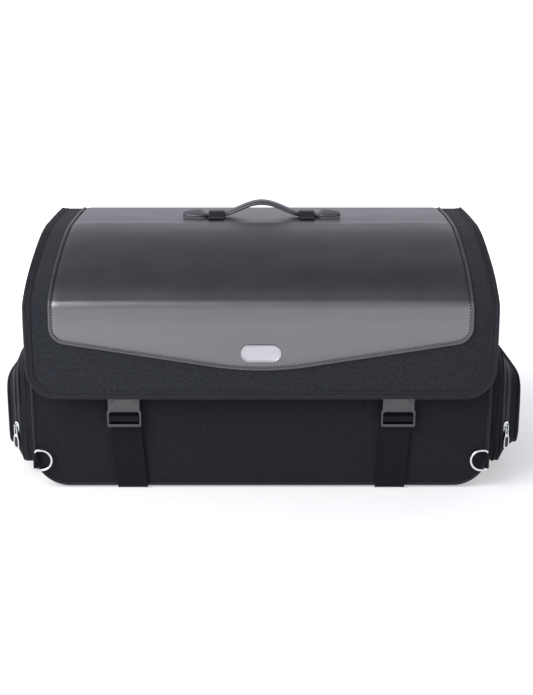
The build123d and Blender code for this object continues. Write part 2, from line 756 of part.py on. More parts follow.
def pockets():
    """A zipped pocket on each end: sewn gusset, face that opens on its lower edge, and zip."""
    body_bulk = front_shape(
        tub(body_half + ply_gap, base_z - ply_gap, lid_top_z, corner_radius + ply_gap), front_y, rear_y
    )
    shell = pocket_layer(0, pocket_wall) - body_bulk
    zip_x, end_z = body_half + zip_out, base_z + zip_end_height
    ends = (rear_y - front_y, body_half + 2 * pocket_face[0])

    def beyond(x, low_z=0.0, high_z=mouth_z):
        return block(x, ends[1], front_y, rear_y, low_z, high_z)

    sewn = beyond(zip_x - zip_width / 2, end_z) + beyond(zip_x - ply_gap, 0, end_z)
    nodes_gusset = shell - sewn
    face = (shell & beyond(zip_x + zip_width / 2, end_z)) + (shell & beyond(zip_x + ply_gap, 0, end_z))
    both_sides("pocket_gusset", nodes_gusset)
    both_sides("pocket_face", face)

    tape = pocket_layer(zip_tape_sink, zip_tape_sink + zip_tape) & beyond(0, end_z)
    chain_body = pocket_body(-zip_chain_proud, -zip_chain_proud)
    chain = (chain_body - pocket_body(zip_chain - zip_chain_proud, zip_chain)) & beyond(0, end_z)
    edge, half_gap = zip_width / 2 - ply_gap, zip_chain_gap / 2
    reach = slider_travel + slider_length
    run = chain_plane() * Pos(0, (slider_travel - slip_gap) / 2) * Box(zip_chain_gap, reach, 4 * zip_chain)
    for name, side in (("zip_inner", -1), ("zip_outer", 1)):
        near, far = sorted((zip_x + side * half_gap, zip_x + side * edge))
        tape_half = tape & block(near, far, front_y, rear_y, 0, mouth_z)
        near, far = sorted((zip_x + side * half_gap, zip_x + side * (half_gap + zip_chain_width)))
        chain_half = chain & block(near, far, front_y, rear_y, 0, mouth_z)
        both_sides(name, tape_half + chain_half - run)

    slider_and_pull()


def chain_plane():
    """On the pocket's front edge at the slider: X across the zip, outwards; Y up; Z out of the cloth."""
    length = pocket_size(zip_out)[0]
    run = pocket_face[0] - pocket_waist[0]
    pull_in = (pocket_waist[1] - pocket_face[1]) / 2
    origin = (body_half + zip_out, middle_y - length / 2, base_z + slider_height)
    return Plane(origin=origin, x_dir=(run, pull_in, 0), z_dir=(pull_in, -run, 0))


def slider_and_pull():
    """The slider that straddles the chain, and the pull with its rubber insert."""
    place = chain_plane()
    half = slider_width / 2
    plate = upright(-slider_length / 2, slider_length / 2, -half, half)
    plate = fillet(plate.vertices().sort_by(Axis.Y)[:2], half / 2)
    plate = chamfer(plate.vertices().sort_by(Axis.Y)[-2:], half / 2)
    above = zip_chain_proud + slip_gap
    below = -(zip_chain - zip_chain_proud) - slip_gap
    body_ = Pos(0, 0, above) * extrude(plate, slider_plate)
    outer_half = plate & upright(-slider_length, slider_length, -post_width / 2, slider_width)
    body_ += Pos(0, 0, below - slider_plate) * extrude(outer_half, slider_plate)
    post = Pos(0, -slider_length / 2 + post_length / 2 + 1) * Rectangle(post_width, post_length)
    body_ += Pos(0, 0, below - 0.2) * extrude(post, above - below + 0.4)
    top = above + slider_plate
    arch = upright(top - 0.2, top + bridge_rise, -bridge_length / 2, bridge_length / 2)
    arch = fillet(arch.vertices().sort_by(Axis.Y)[2:], bridge_rise / 2)
    hole_half = bridge_length / 2 - bridge_wire
    arch -= upright(top, top + bridge_rise - bridge_wire, -hole_half, hole_half)
    bridge = extrude(Plane.YZ * arch, amount=bridge_wire / 2, both=True)
    body_ += bridge
    both_sides("zip_slider", place * body_)

    pivot = pull_pivot()
    eye, low = pull_eye_width / 2, -(pull_length - pull_bar)
    outline = make_face(
        Polyline(
            (-eye, pull_bar / 2),
            (-eye, -pull_length * 0.3),
            (-pull_width / 2, -pull_length * 0.55),
            (-pull_width / 2, low),
            (pull_width / 2, low),
            (pull_width / 2, -pull_length * 0.55),
            (eye, -pull_length * 0.3),
            (eye, pull_bar / 2),
            close=True,
        )
    )
    corners = outline.vertices().sort_by(Axis.Y)
    outline = fillet(corners[:2], pull_width / 2.3)
    eye_hole = upright(-pull_length * 0.3, pull_bar, -eye + pull_bar, eye - pull_bar)
    eye_hole = fillet(eye_hole.vertices().sort_by(Axis.Y)[:2], (eye - pull_bar) / 2.2)
    window_top = -pull_length * 0.42
    window = upright(low + pull_insert_margin, window_top, -pull_width / 2 + pull_insert_margin, pull_width / 2 - pull_insert_margin)
    window = fillet(window.vertices(), (pull_width - 2 * pull_insert_margin) / 2.3)
    thickness = pull_thickness / 2
    frame = extrude(outline - eye_hole - window, amount=thickness, both=True)
    frame -= block(-pull_width, pull_width, 0, pull_bar, -pull_thickness, pull_thickness)
    frame += Rot(0, 90, 0) * Cylinder(pull_bar / 2, pull_eye_width)
    insert = offset(window, amount=-ply_gap)
    both_sides("zip_pull", place * Pos(*pivot) * frame)
    both_sides("zip_pull_insert", place * Pos(*pivot) * extrude(insert, amount=thickness * 0.7, both=True))


def pull_pivot():
    """The pull's swing axis on the slider, in the chain's own plane."""
    top = zip_chain_proud + slip_gap + slider_plate
    hole = bridge_rise - bridge_wire
    return (0, -bridge_length / 2 + bridge_wire + slip_gap + pull_bar / 2, top + hole / 2)


body()
lid()
handle()
buckles()
rings()
pockets()

os.makedirs("parts", exist_ok=True)
for name, shape in nodes.items():
    export_step(shape, f"parts/{name}.step")
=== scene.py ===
"""The looks of a soft motorcycle tail bag, sewn and moulded round its CAD frame.

Cloth and leather pieces are cut flat, as their patterns are, and then laid over the shape that carries them.
"""

from math import atan2, cos, exp, hypot, pi, radians, sin, sqrt, tan

import bmesh
import bpy
from mathutils import Matrix, Vector, noise


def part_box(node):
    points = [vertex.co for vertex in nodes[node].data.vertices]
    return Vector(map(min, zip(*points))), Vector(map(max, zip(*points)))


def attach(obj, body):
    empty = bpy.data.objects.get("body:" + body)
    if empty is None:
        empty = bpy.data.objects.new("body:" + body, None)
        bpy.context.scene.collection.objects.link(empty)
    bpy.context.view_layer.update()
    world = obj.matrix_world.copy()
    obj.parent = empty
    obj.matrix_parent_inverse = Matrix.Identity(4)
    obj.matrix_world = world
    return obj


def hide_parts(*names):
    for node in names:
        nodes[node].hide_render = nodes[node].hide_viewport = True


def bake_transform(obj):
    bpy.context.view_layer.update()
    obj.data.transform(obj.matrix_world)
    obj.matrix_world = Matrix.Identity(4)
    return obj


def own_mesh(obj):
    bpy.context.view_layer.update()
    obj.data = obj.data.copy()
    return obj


MM = 0.001

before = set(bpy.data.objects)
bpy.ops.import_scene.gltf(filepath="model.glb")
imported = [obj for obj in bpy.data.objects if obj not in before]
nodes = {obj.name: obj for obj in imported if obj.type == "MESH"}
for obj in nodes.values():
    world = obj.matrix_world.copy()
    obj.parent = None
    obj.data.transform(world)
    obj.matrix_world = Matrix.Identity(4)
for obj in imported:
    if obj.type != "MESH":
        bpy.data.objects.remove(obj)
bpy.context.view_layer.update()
scene = bpy.context.scene

# ---------------------------------------------------------------- places taken from the frame
panel_low, panel_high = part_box("lid_panel")
binding_low, binding_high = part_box("lid_binding")
grip_low, grip_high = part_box("handle_grip")
front_low, front_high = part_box("front_panel")

lid_front_y = panel_low.y
lid_top_z = panel_high.z
lid_rear_y = panel_high.y
lid_half = binding_high.x
lid_edge_z = binding_low.z
body_half = front_high.x
front_y, rear_y = front_low.y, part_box("rear_panel")[1].y
base_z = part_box("base_panel")[0].z
mouth_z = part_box("mouth_binding")[1].z

# The lid's cloth seen from the side: flat top, crease, long crown, tight shoulder, upright front.
crease_radius, crown_radius, shoulder_radius = 57 * MM, 507 * MM, 13.5 * MM
crease_angle, crown_angle = radians(9), radians(31)
crease_arm, shoulder_arm = crown_radius - crease_radius, crown_radius - shoulder_radius  # between arc centres
crown_run = shoulder_arm * sin(crown_angle) - crease_arm * sin(crease_angle)
crown_drop = crease_arm * cos(crease_angle) - shoulder_arm * cos(crown_angle)
shoulder_z = lid_top_z - crease_radius - crown_drop
flat_end_y = lid_front_y + shoulder_radius + crown_run
bends = (
    (flat_end_y, lid_top_z - crease_radius, crease_radius, 0.0, crease_angle),
    (
        flat_end_y + crease_arm * sin(crease_angle),
        lid_top_z - crease_radius - crease_arm * cos(crease_angle),
        crown_radius,
        crease_angle,
        crown_angle,
    ),
    (lid_front_y + shoulder_radius, shoulder_z, shoulder_radius, crown_angle, radians(90)),
)
flat_length = lid_rear_y - flat_end_y
bend_length = sum(radius * (stop - start) for _, _, radius, start, stop in bends)
front_start = flat_length + bend_length
lid_length = front_start + shoulder_z - lid_edge_z


# ---------------------------------------------------------------- shaping tools
def smooth_step(low, high, value):
    """0 below low, 1 above high, and a smooth way between."""
    share = min(max((value - low) / (high - low), 0.0), 1.0)
    return share * share * (3 - 2 * share)


def bell(distance, width):
    """1 at no distance, falling away over a width."""
    return exp(-((distance / width) ** 2))


def squared(wave, power):
    """A sine or cosine pushed towards 1 and -1, which squares the round shape that it draws."""
    return abs(wave) ** power * (1 if wave > 0 else -1)


def shares(count, low=0.0, high=1.0):
    """Evenly spaced places between two limits, both included."""
    return [low + (high - low) * i / count for i in range(count + 1)]


def drift(x, y, z, size):
    """Slow random wander between about -1 and 1, of features of a size."""
    return noise.noise(Vector((x / size, y / size, z / size)))


def side_profile(along):
    """The lid's cloth at a distance from its rear edge: (y, z) and the angle that it has turned through."""
    if along <= flat_length:
        return lid_rear_y - along, lid_top_z, 0.0
    left = along - flat_length
    for centre_y, centre_z, radius, start, stop in bends:
        run = radius * (stop - start)
        if left <= run:
            angle = start + left / radius
            return centre_y - radius * sin(angle), centre_z + radius * cos(angle), angle
        left -= run
    return lid_front_y, shoulder_z - left, radians(90)


def lid_relief(across, along):
    """How far the stuffed lid stands from its board: slow waves, a fuller front and softer side edges."""
    waves = 0.9 * MM * drift(across, along, 0.3, 0.13) + 0.35 * MM * drift(across, along, 1.7, 0.05)
    rounding = -2.3 * MM * exp(-(((along - front_start + 0.007) / 0.017) ** 2))
    fullness = 1.4 * MM * exp(-(((along - front_start + 0.06) / 0.035) ** 2)) + rounding
    fullness -= 1.6 * MM * exp(-(((along - flat_length) / 0.03) ** 2))
    badge = exp(-((across / 0.045) ** 4) - ((along - front_start - 0.056) / 0.026) ** 4)
    sides = -1.6 * MM * smooth_step(0.21, lid_half, abs(across)) * smooth_step(0.0, 0.1, along)
    return (waves * smooth_step(0.0, 0.05, along) + sides) * (1 - badge) + fullness - 0.3 * MM * badge


def on_lid(across, along, height):
    """A point of the lid from its flat pattern: across the bag, along from the rear edge, above the cloth."""
    y, z, angle = side_profile(along)
    lift = height + lid_relief(across, along)
    return Vector((across, y - lift * sin(angle), z + lift * cos(angle)))


def cloth(columns, rows, place, flip=False, join=False):
    """A sheet set out by columns and rows; place gives its pattern, kept as a UV map, and where it lies."""
    bm = bmesh.new()
    bmesh.ops.create_grid(bm, x_segments=len(columns) - 1, y_segments=len(rows) - 1, size=0.5)
    pattern = bm.loops.layers.uv.new("pattern")
    spot = {}
    for v in bm.verts:
        i = round((v.co.x + 0.5) * (len(columns) - 1))
        j = round((v.co.y + 0.5) * (len(rows) - 1))
        spot[v] = place(columns[i], rows[j])
    for face in bm.faces:
        for loop in face.loops:
            loop[pattern].uv = spot[loop.vert][0]
    for v, (_, point) in spot.items():
        v.co = point
    if join:
        bmesh.ops.remove_doubles(bm, verts=bm.verts, dist=0.01 * MM)
    if flip:
        bmesh.ops.reverse_faces(bm, faces=bm.faces)
    return bm


def piece(name, bm, material, body, replaces=(), thickness=0.0, subdivide=0):
    """Turns a bmesh into a piece of the bag that rides on a body."""
    mesh = bpy.data.meshes.new(name)
    bm.to_mesh(mesh)
    bm.free()
    mesh.shade_smooth()
    obj = bpy.data.objects.new(name, mesh)
    scene.collection.objects.link(obj)
    mesh.materials.append(material)
    if thickness:
        ply = obj.modifiers.new("ply", "SOLIDIFY")
        ply.thickness, ply.offset, ply.use_rim = thickness, -1.0, True
    if subdivide:
        smooth = obj.modifiers.new("smooth", "SUBSURF")
        smooth.levels = smooth.render_levels = subdivide
    if body:
        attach(obj, body)
    if replaces:
        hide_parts(*replaces)
    return obj


def rounded_outline(half_x, low_y, high_y, radius, step=2 * MM):
    """Points along a flat outline, open at the top: down the left, round the lower corners, up the right."""
    points = []
    straight = max(int((high_y - low_y - radius) / step), 2)
    points += [Vector((-half_x, high_y - (high_y - low_y - radius) * i / straight)) for i in range(straight)]
    turns = max(int(radius * pi / 2 / step), 6)
    for i in range(turns):
        angle = pi / 2 * i / turns
        points.append(Vector((-half_x + radius - radius * cos(angle), low_y + radius - radius * sin(angle))))
    across = max(int(2 * (half_x - radius) / step), 2)
    points += [Vector((-half_x + radius + 2 * (half_x - radius) * i / across, low_y)) for i in range(across)]
    mirrored = [Vector((-p.x, p.y)) for p in reversed(points[: straight + turns])]
    return points + [Vector((half_x - radius, low_y))] + mirrored


def even_path(points, step):
    """The same line with evenly spaced points, each with its direction."""
    lengths = [0.0]
    for a, b in zip(points, points[1:]):
        lengths.append(lengths[-1] + (b - a).length)
    count = max(int(lengths[-1] / step), 2)
    out, k = [], 0
    for i in range(count + 1):
        goal = lengths[-1] * i / count
        while k < len(points) - 2 and lengths[k + 1] < goal:
            k += 1
        span = max(lengths[k + 1] - lengths[k], 1e-9)
        share = (goal - lengths[k]) / span
        out.append((points[k].lerp(points[k + 1], share), (points[k + 1] - points[k]).normalized()))
    return out


def frames_along(surface, path, pitch):
    """Evenly spaced places along a path on a surface: where, which way the path runs and which way is out."""
    spots = [surface(p.x, p.y) for p in path]
    lengths = [0.0]
    for a, b in zip(spots, spots[1:]):
        lengths.append(lengths[-1] + (b - a).length)
    count = max(int(lengths[-1] / pitch), 2)
    frames, k = [], 0
    for i in range(count):
        goal = lengths[-1] * (i + 0.5) / count
        while k < len(path) - 2 and lengths[k + 1] < goal:
            k += 1
        share = (goal - lengths[k]) / max(lengths[k + 1] - lengths[k], 1e-9)
        p = path[k].lerp(path[k + 1], share)
        run = (spots[k + 1] - spots[k]).normalized()
        origin = surface(p.x, p.y)
        nudge = 0.5 * MM
        out = (surface(p.x + nudge, p.y) - origin).cross(surface(p.x, p.y + nudge) - origin).normalized()
        frames.append((origin, run, out.cross(run).normalized(), out))
    return frames


def stitches(name, frames, material, body, length=2.2 * MM, width=0.75 * MM, height=0.5 * MM):
    """A row of short threads, or of zip teeth, one at each place of a row."""
    bm = bmesh.new()
    for origin, run, side, out in frames:
        turn = Matrix((run, side, out)).transposed().to_4x4()
        size = Matrix.Diagonal((length / 2, width / 2, height / 2, 1))
        place = Matrix.Translation(origin) @ turn @ size
        bmesh.ops.create_icosphere(bm, subdivisions=1, radius=1.0, matrix=place)
    bmesh.ops.recalc_face_normals(bm, faces=bm.faces)
    return piece(name, bm, material, body)


def tube(name, points, radius, material, body, replaces=(), closed=False, resolution=4):
    """A round cord or wire through points, made a mesh."""
    curve = bpy.data.curves.new(name, "CURVE")
    curve.dimensions, curve.bevel_depth, curve.bevel_resolution = "3D", radius, resolution
    curve.use_fill_caps = not closed
    spline = curve.splines.new("POLY")
    spline.points.add(len(points) - 1)
    for spot, point in zip(spline.points, points):
        spot.co = (*point, 1.0)
    spline.use_cyclic_u = closed
    holder = bpy.data.objects.new(name, curve)
    mesh = bpy.data.meshes.new_from_object(holder)
    bpy.data.objects.remove(holder)
    bpy.data.curves.remove(curve)
    bm = bmesh.new()
    bm.from_mesh(mesh)
    bpy.data.meshes.remove(mesh)
    bmesh.ops.remove_doubles(bm, verts=bm.verts, dist=0.001 * MM)
    return piece(name, bm, material, body, replaces)


def softened(node, width, material, body, segments=2, angle=35):
    """A copy of a CAD node with its edges rounded, as a mould leaves them."""
    bm = bmesh.new()
    bm.from_mesh(nodes[node].data)
    bmesh.ops.remove_doubles(bm, verts=bm.verts, dist=0.002 * MM)
    bmesh.ops.dissolve_limit(bm, angle_limit=radians(1), verts=bm.verts, edges=bm.edges)
    obj = piece(node + "_shown", bm, material, body, [node])
    edge = obj.modifiers.new("edges", "BEVEL")
    edge.width, edge.segments, edge.limit_method, edge.angle_limit = width, segments, "ANGLE", radians(angle)
    edge.harden_normals = True
    return obj


# ---------------------------------------------------------------- finishes
def value_group(name, inputs, outputs):
    """A shader node group with named sockets; returns it with its input and output nodes."""
    group = bpy.data.node_groups.new(name, "ShaderNodeTree")
    for socket, default in inputs:
        kind = "NodeSocketVector" if default is None else "NodeSocketFloat"
        made = group.interface.new_socket(name=socket, in_out="INPUT", socket_type=kind)
        if default is not None:
            made.default_value = default
    for socket in outputs:
        group.interface.new_socket(name=socket, in_out="OUTPUT", socket_type="NodeSocketFloat")
    return group, group.nodes.new("NodeGroupInput"), group.nodes.new("NodeGroupOutput")


def calc(tree, operation, a, b=0.0, c=0.0):
    """A Math node; its operands are sockets or numbers."""
    node = tree.nodes.new("ShaderNodeMath")
    node.operation = operation
    for socket, value in zip(node.inputs, (a, b, c)):
        if isinstance(value, (int, float)):
            socket.default_value = value
        else:
            tree.links.new(value, socket)
    return node.outputs[0]


def add(tree, a, b):
    """The sum of two sockets or numbers."""
    return calc(tree, "ADD", a, b)


def times(tree, a, b):
    """The product of two sockets or numbers."""
    return calc(tree, "MULTIPLY", a, b)


def noise_at(tree, vector, size, detail=2.0, roughness=0.5, distortion=0.0):
    """Noise whose features are about a size in metres."""
    node = tree.nodes.new("ShaderNodeTexNoise")
    node.inputs["Scale"].default_value = 1 / size
    node.inputs["Detail"].default_value = detail
    node.inputs["Roughness"].default_value = roughness
    node.inputs["Distortion"].default_value = distortion
    tree.links.new(vector, node.inputs["Vector"])
    return node.outputs["Fac"]


def make_weave():
    """Over-and-under threads of a plain weave, with uneven yarns."""
    group, start, end = value_group("plain_weave", [("Place", None), ("Thread", 0.9)], ["Height", "Tone"])
    place = start.outputs["Place"]
    parts = group.nodes.new("ShaderNodeSeparateXYZ")
    group.links.new(place, parts.inputs[0])
    turns = calc(group, "DIVIDE", pi / MM, start.outputs["Thread"])
    warp, weft = times(group, parts.outputs["X"], turns), times(group, parts.outputs["Y"], turns)
    across = calc(group, "ABSOLUTE", calc(group, "SINE", warp))
    along = calc(group, "ABSOLUTE", calc(group, "SINE", weft))
    over = calc(group, "SINE", times(group, warp, 0.5))
    under = calc(group, "SINE", times(group, weft, 0.5))
    swap = calc(group, "GREATER_THAN", times(group, over, under), 0.0)
    bump = add(group, times(group, across, swap), times(group, along, calc(group, "SUBTRACT", 1.0, swap)))
    fuzz = noise_at(group, place, 1.6 * MM, 3.0, 0.7)
    slub = noise_at(group, place, 4.5 * MM, 2.0, 0.6)
    group.links.new(add(group, times(group, bump, 0.45), times(group, fuzz, 0.8)), end.inputs["Height"])
    group.links.new(add(group, times(group, fuzz, 0.65), times(group, slub, 0.35)), end.inputs["Tone"])
    return group


def make_grain():
    """Fine leather pebble with long shallow creases."""
    group, start, end = value_group("leather_grain", [("Place", None), ("Creases", 0.5)], ["Height", "Tone"])
    place = start.outputs["Place"]
    pebble = group.nodes.new("ShaderNodeTexVoronoi")
    pebble.feature = "DISTANCE_TO_EDGE"
    pebble.inputs["Scale"].default_value = 1 / (1.5 * MM)
    group.links.new(place, pebble.inputs["Vector"])
    cells = calc(group, "MINIMUM", times(group, pebble.outputs["Distance"], 3.0), 0.6)
    fine = noise_at(group, place, 0.9 * MM, 3.0, 0.6)
    stretch = group.nodes.new("ShaderNodeMapping")
    stretch.inputs["Rotation"].default_value = (0, 0, radians(28))
    stretch.inputs["Scale"].default_value = (0.22, 1.0, 1.0)
    group.links.new(place, stretch.inputs["Vector"])
    fold = noise_at(group, stretch.outputs[0], 6 * MM, 4.0, 0.65, 1.2)
    away = calc(group, "ABSOLUTE", calc(group, "SUBTRACT", fold, 0.5))
    line = calc(group, "SUBTRACT", 1.0, calc(group, "MINIMUM", times(group, away, 16.0), 1.0))
    creases = times(group, line, start.outputs["Creases"])
    leather = add(group, times(group, cells, 0.5), times(group, fine, 0.5))
    group.links.new(calc(group, "SUBTRACT", leather, creases), end.inputs["Height"])
    wide = noise_at(group, place, 45 * MM, 2.0)
    group.links.new(add(group, times(group, fine, 0.4), times(group, wide, 0.6)), end.inputs["Tone"])
    return group


def make_ribs():
    """The cross ribs of webbing, which run from edge to edge, with a painted highlight on their crests and painted
    shade in their grooves.
    """
    group, start, end = value_group("webbing_ribs", [("Place", None), ("Pitch", 1.9)], ["Height", "Tone"])
    place = start.outputs["Place"]
    parts = group.nodes.new("ShaderNodeSeparateXYZ")
    group.links.new(place, parts.inputs[0])
    wander = times(group, noise_at(group, place, 14 * MM), 1.6 * MM)
    turns = calc(group, "DIVIDE", 2 * pi / MM, start.outputs["Pitch"])
    rib = calc(group, "SINE", times(group, add(group, parts.outputs["Y"], wander), turns))
    yarn = calc(group, "ABSOLUTE", calc(group, "SINE", times(group, parts.outputs["X"], pi / (1.3 * MM))))
    fuzz = noise_at(group, place, 1.2 * MM, 3.0, 0.7)
    height = add(group, times(group, rib, 0.35), times(group, yarn, 0.25))
    group.links.new(add(group, height, times(group, fuzz, 0.4)), end.inputs["Height"])
    # Painted highlight and shade: the tone follows the ribs, lighter on their crests and darker in the grooves
    # between them. The fuzz is the yarns' own uneven tone.
    group.links.new(add(group, times(group, rib, 0.2), fuzz), end.inputs["Tone"])
    return group


def make_handling():
    """Dust and rubbing that come and go over a surface."""
    group, start, end = value_group("handling", [("Place", None), ("Amount", 0.5)], ["Mask"])
    slow = noise_at(group, start.outputs["Place"], 60 * MM, 3.0, 0.6)
    fine = noise_at(group, start.outputs["Place"], 5 * MM, 3.0, 0.7)
    group.links.new(times(group, times(group, slow, fine), start.outputs["Amount"]), end.inputs["Mask"])
    return group


weave, grain, ribs, handling = make_weave(), make_grain(), make_ribs(), make_handling()


def finish(name, place, relief, dark, light, rough, depth, bump=0.5, dust=0.3, relief_values=(), **shader):
    """A material: a relief group sets its height and tone, and handling lightens it here and there."""
    material = bpy.data.materials.new(name)
    material.use_nodes = True
    tree = material.node_tree
    surface = tree.nodes["Principled BSDF"]
    coords = tree.nodes.new("ShaderNodeTexCoord").outputs[place]
    pattern = tree.nodes.new("ShaderNodeGroup")
    pattern.node_tree = relief
    tree.links.new(coords, pattern.inputs["Place"])
    for socket, value in relief_values:
        pattern.inputs[socket].default_value = value
    wear = tree.nodes.new("ShaderNodeGroup")
    wear.node_tree = handling
    wear.inputs["Amount"].default_value = dust
    tree.links.new(coords, wear.inputs["Place"])
    ramp = tree.nodes.new("ShaderNodeMapRange")
    ramp.inputs["From Min"].default_value, ramp.inputs["From Max"].default_value = 0.35, 0.65
    tree.links.new(pattern.outputs["Tone"], ramp.inputs["Value"])
    mix = tree.nodes.new("ShaderNodeMix")
    mix.data_type = "RGBA"
    mix.inputs["A"].default_value, mix.inputs["B"].default_value = (*dark, 1), (*light, 1)
    tree.links.new(ramp.outputs["Result"], mix.inputs["Factor"])
    dusty = tree.nodes.new("ShaderNodeMix")
    dusty.data_type = "RGBA"
    dusty.inputs["B"].default_value = (0.12, 0.12, 0.13, 1)
    tree.links.new(mix.outputs["Result"], dusty.inputs["A"])
    tree.links.new(wear.outputs["Mask"], dusty.inputs["Factor"])
    tree.links.new(dusty.outputs["Result"], surface.inputs["Base Color"])
    uneven = add(tree, rough - 0.06, times(tree, pattern.outputs["Tone"], 0.12))
    tree.links.new(uneven, surface.inputs["Roughness"])
    relief_node = tree.nodes.new("ShaderNodeBump")
    relief_node.inputs["Strength"].default_value = bump
    relief_node.inputs["Distance"].default_value = depth
    tree.links.new(pattern.outputs["Height"], relief_node.inputs["Height"])
    tree.links.new(relief_node.outputs["Normal"], surface.inputs["Normal"])
    for socket, value in shader.items():
        surface.inputs[socket.replace("_", " ")].default_value = value
    return material


def metal(name, colour, rough):
    """Bright metal with faint handling marks."""
    duller = [part * 0.92 for part in colour]
    marks = [("Creases", 0.1)]
    return finish(name, "Object", grain, colour, duller, rough, 0.02 * MM, 0.15, 0.05, marks, Metallic=1.0)


shell_cloth = finish(
    "ballistic_cloth", "UV", weave, (0.004, 0.0048, 0.0072), (0.019, 0.021, 0.028), 0.85, 0.4 * MM, 0.9, 0.1,
    [("Thread", 0.95)], Sheen_Weight=0.06, Sheen_Roughness=0.5, Specular_IOR_Level=0.25,
)
lid_cloth = finish(
    "lid_cloth", "UV", weave, (0.009, 0.0105, 0.0145), (0.042, 0.045, 0.057), 0.85, 0.4 * MM, 0.9, 0.12,
    [("Thread", 0.95)], Sheen_Weight=0.08, Sheen_Roughness=0.5, Specular_IOR_Level=0.25,
)
cover_leather = finish(
    "cover_leather", "UV", grain, (0.018, 0.018, 0.026), (0.03, 0.03, 0.042), 0.34, 0.14 * MM, 0.4, 0.1,
    [("Creases", 0.6)], IOR=1.8, Specular_IOR_Level=1.0,
)
handle_leather = finish(
    "handle_leather", "UV", grain, (0.035, 0.036, 0.045), (0.07, 0.072, 0.086), 0.42, 0.12 * MM, 0.4, 0.2,
    [("Creases", 0.3)], IOR=1.6, Specular_IOR_Level=0.8,
)
strap_webbing = finish(
    "strap_webbing", "UV", ribs, (0.0015, 0.0018, 0.003), (0.006, 0.007, 0.0105), 0.75, 0.4 * MM, 0.9, 0.08,
    [("Pitch", 2.6)], Sheen_Weight=0.02, Specular_IOR_Level=0.2,
)
edge_tape = finish(
    "edge_tape", "UV", weave, (0.006, 0.007, 0.01), (0.024, 0.026, 0.034), 0.7, 0.3 * MM, 0.7, 0.1,
    [("Thread", 0.7)], Sheen_Weight=0.06, Specular_IOR_Level=0.3,
)
lining_nylon = finish(
    "lining_nylon", "UV", weave, (0.03, 0.032, 0.036), (0.055, 0.058, 0.064), 0.5, 0.1 * MM, 0.4, 0.1,
    [("Thread", 0.5)],
)
thread = finish(
    "sewing_thread", "Object", weave, (0.001, 0.001, 0.0015), (0.004, 0.004, 0.005), 0.8, 0.1 * MM, 0.3, 0.0,
    [("Thread", 0.3)],
)
zip_tape_cloth = finish(
    "zip_tape_cloth", "Object", weave, (0.008, 0.009, 0.011), (0.022, 0.024, 0.029), 0.6, 0.2 * MM, 0.6, 0.1,
    [("Thread", 0.5)],
)
zip_coil = finish(
    "zip_coil", "Object", grain, (0.006, 0.006, 0.008), (0.014, 0.014, 0.018), 0.35, 0.05 * MM, 0.2, 0.0
)
buckle_plastic = finish(
    "buckle_plastic", "Object", grain, (0.007, 0.0075, 0.01), (0.014, 0.015, 0.02), 0.3, 0.05 * MM, 0.25, 0.06,
    [("Creases", 0.05)], IOR=1.7, Specular_IOR_Level=0.6,
)
board_plastic = finish(
    "board_plastic", "Object", grain, (0.01, 0.01, 0.011), (0.02, 0.02, 0.022), 0.5, 0.05 * MM, 0.2, 0.1
)
insert_rubber = finish(
    "insert_rubber", "Object", grain, (0.01, 0.01, 0.012), (0.02, 0.02, 0.024), 0.55, 0.05 * MM, 0.3, 0.05
)
bright_nickel = metal("bright_nickel", (0.78, 0.79, 0.82), 0.16)
badge_metal = metal("badge_metal", (0.5, 0.5, 0.53), 0.34)


# ---------------------------------------------------------------- lid
lid_corner = 40 * MM
leather_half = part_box("lid_leather")[1].x
leather_corner_z, leather_slope, leather_corner = 203.3 * MM, 0.1554, 22 * MM
leather_middle = 400 * MM


def corner_rise(across, half, radius):
    """How much a piece with rounded lower corners loses of its length at a place across it."""
    over = abs(across) - (half - radius)
    return radius - sqrt(max(radius**2 - over**2, 0.0)) if over > 0 else 0.0


def across_columns(half, radius, middle, corner=12):
    """Places across a piece, closer together where its lower corners turn."""
    turn = [half - radius + radius * sin(pi / 2 * i / corner) for i in range(corner + 1)]
    inner = [(half - radius) * (2 * i / middle - 1) for i in range(1, middle)]
    return [-t for t in reversed(turn)] + inner + turn


def leather_end(across):
    """Where the leather's lower edge lies on the lid: a shallow V with a round middle and round corners."""
    x = abs(across)
    turn_angle = atan2(leather_slope, 1.0)
    corner_x = leather_half - leather_corner
    corner_z = leather_corner_z + leather_corner * tan((radians(90) - turn_angle) / 2)
    point_z = leather_corner_z - leather_slope * leather_half
    if x < leather_middle * sin(turn_angle):
        z = point_z + leather_middle / cos(turn_angle) - sqrt(leather_middle**2 - x**2)
    elif x > corner_x + leather_corner * sin(turn_angle):
        z = corner_z - sqrt(max(leather_corner**2 - (x - corner_x) ** 2, 0.0))
    else:
        z = point_z + leather_slope * x
    return front_start + shoulder_z - z


def leather_path(inset):
    """The leather's outline on the lid, at a distance in from its edge."""
    columns = across_columns(leather_half, leather_corner, 60, 10)
    edge = [Vector((x, leather_end(x))) for x in columns]
    edge = [Vector((-leather_half, edge[0].y * i / 40)) for i in range(40)] + edge
    edge += [Vector((leather_half, edge[-1].y * (1 - i / 40))) for i in range(1, 41)]
    out = []
    for i, p in enumerate(edge):
        heading = (edge[min(i + 1, len(edge) - 1)] - edge[max(i - 1, 0)]).normalized()
        out.append(Vector((p.x + heading.y * inset, max(p.y - heading.x * inset, 0.0))))
    return out


def lid_path(inset, step=2 * MM):
    """The lid's outline on its pattern, at a distance in from its edge."""
    outline = rounded_outline(lid_half - inset, inset - lid_length, 0.0, lid_corner - inset, step)
    return [Vector((p.x, -p.y)) for p in outline]


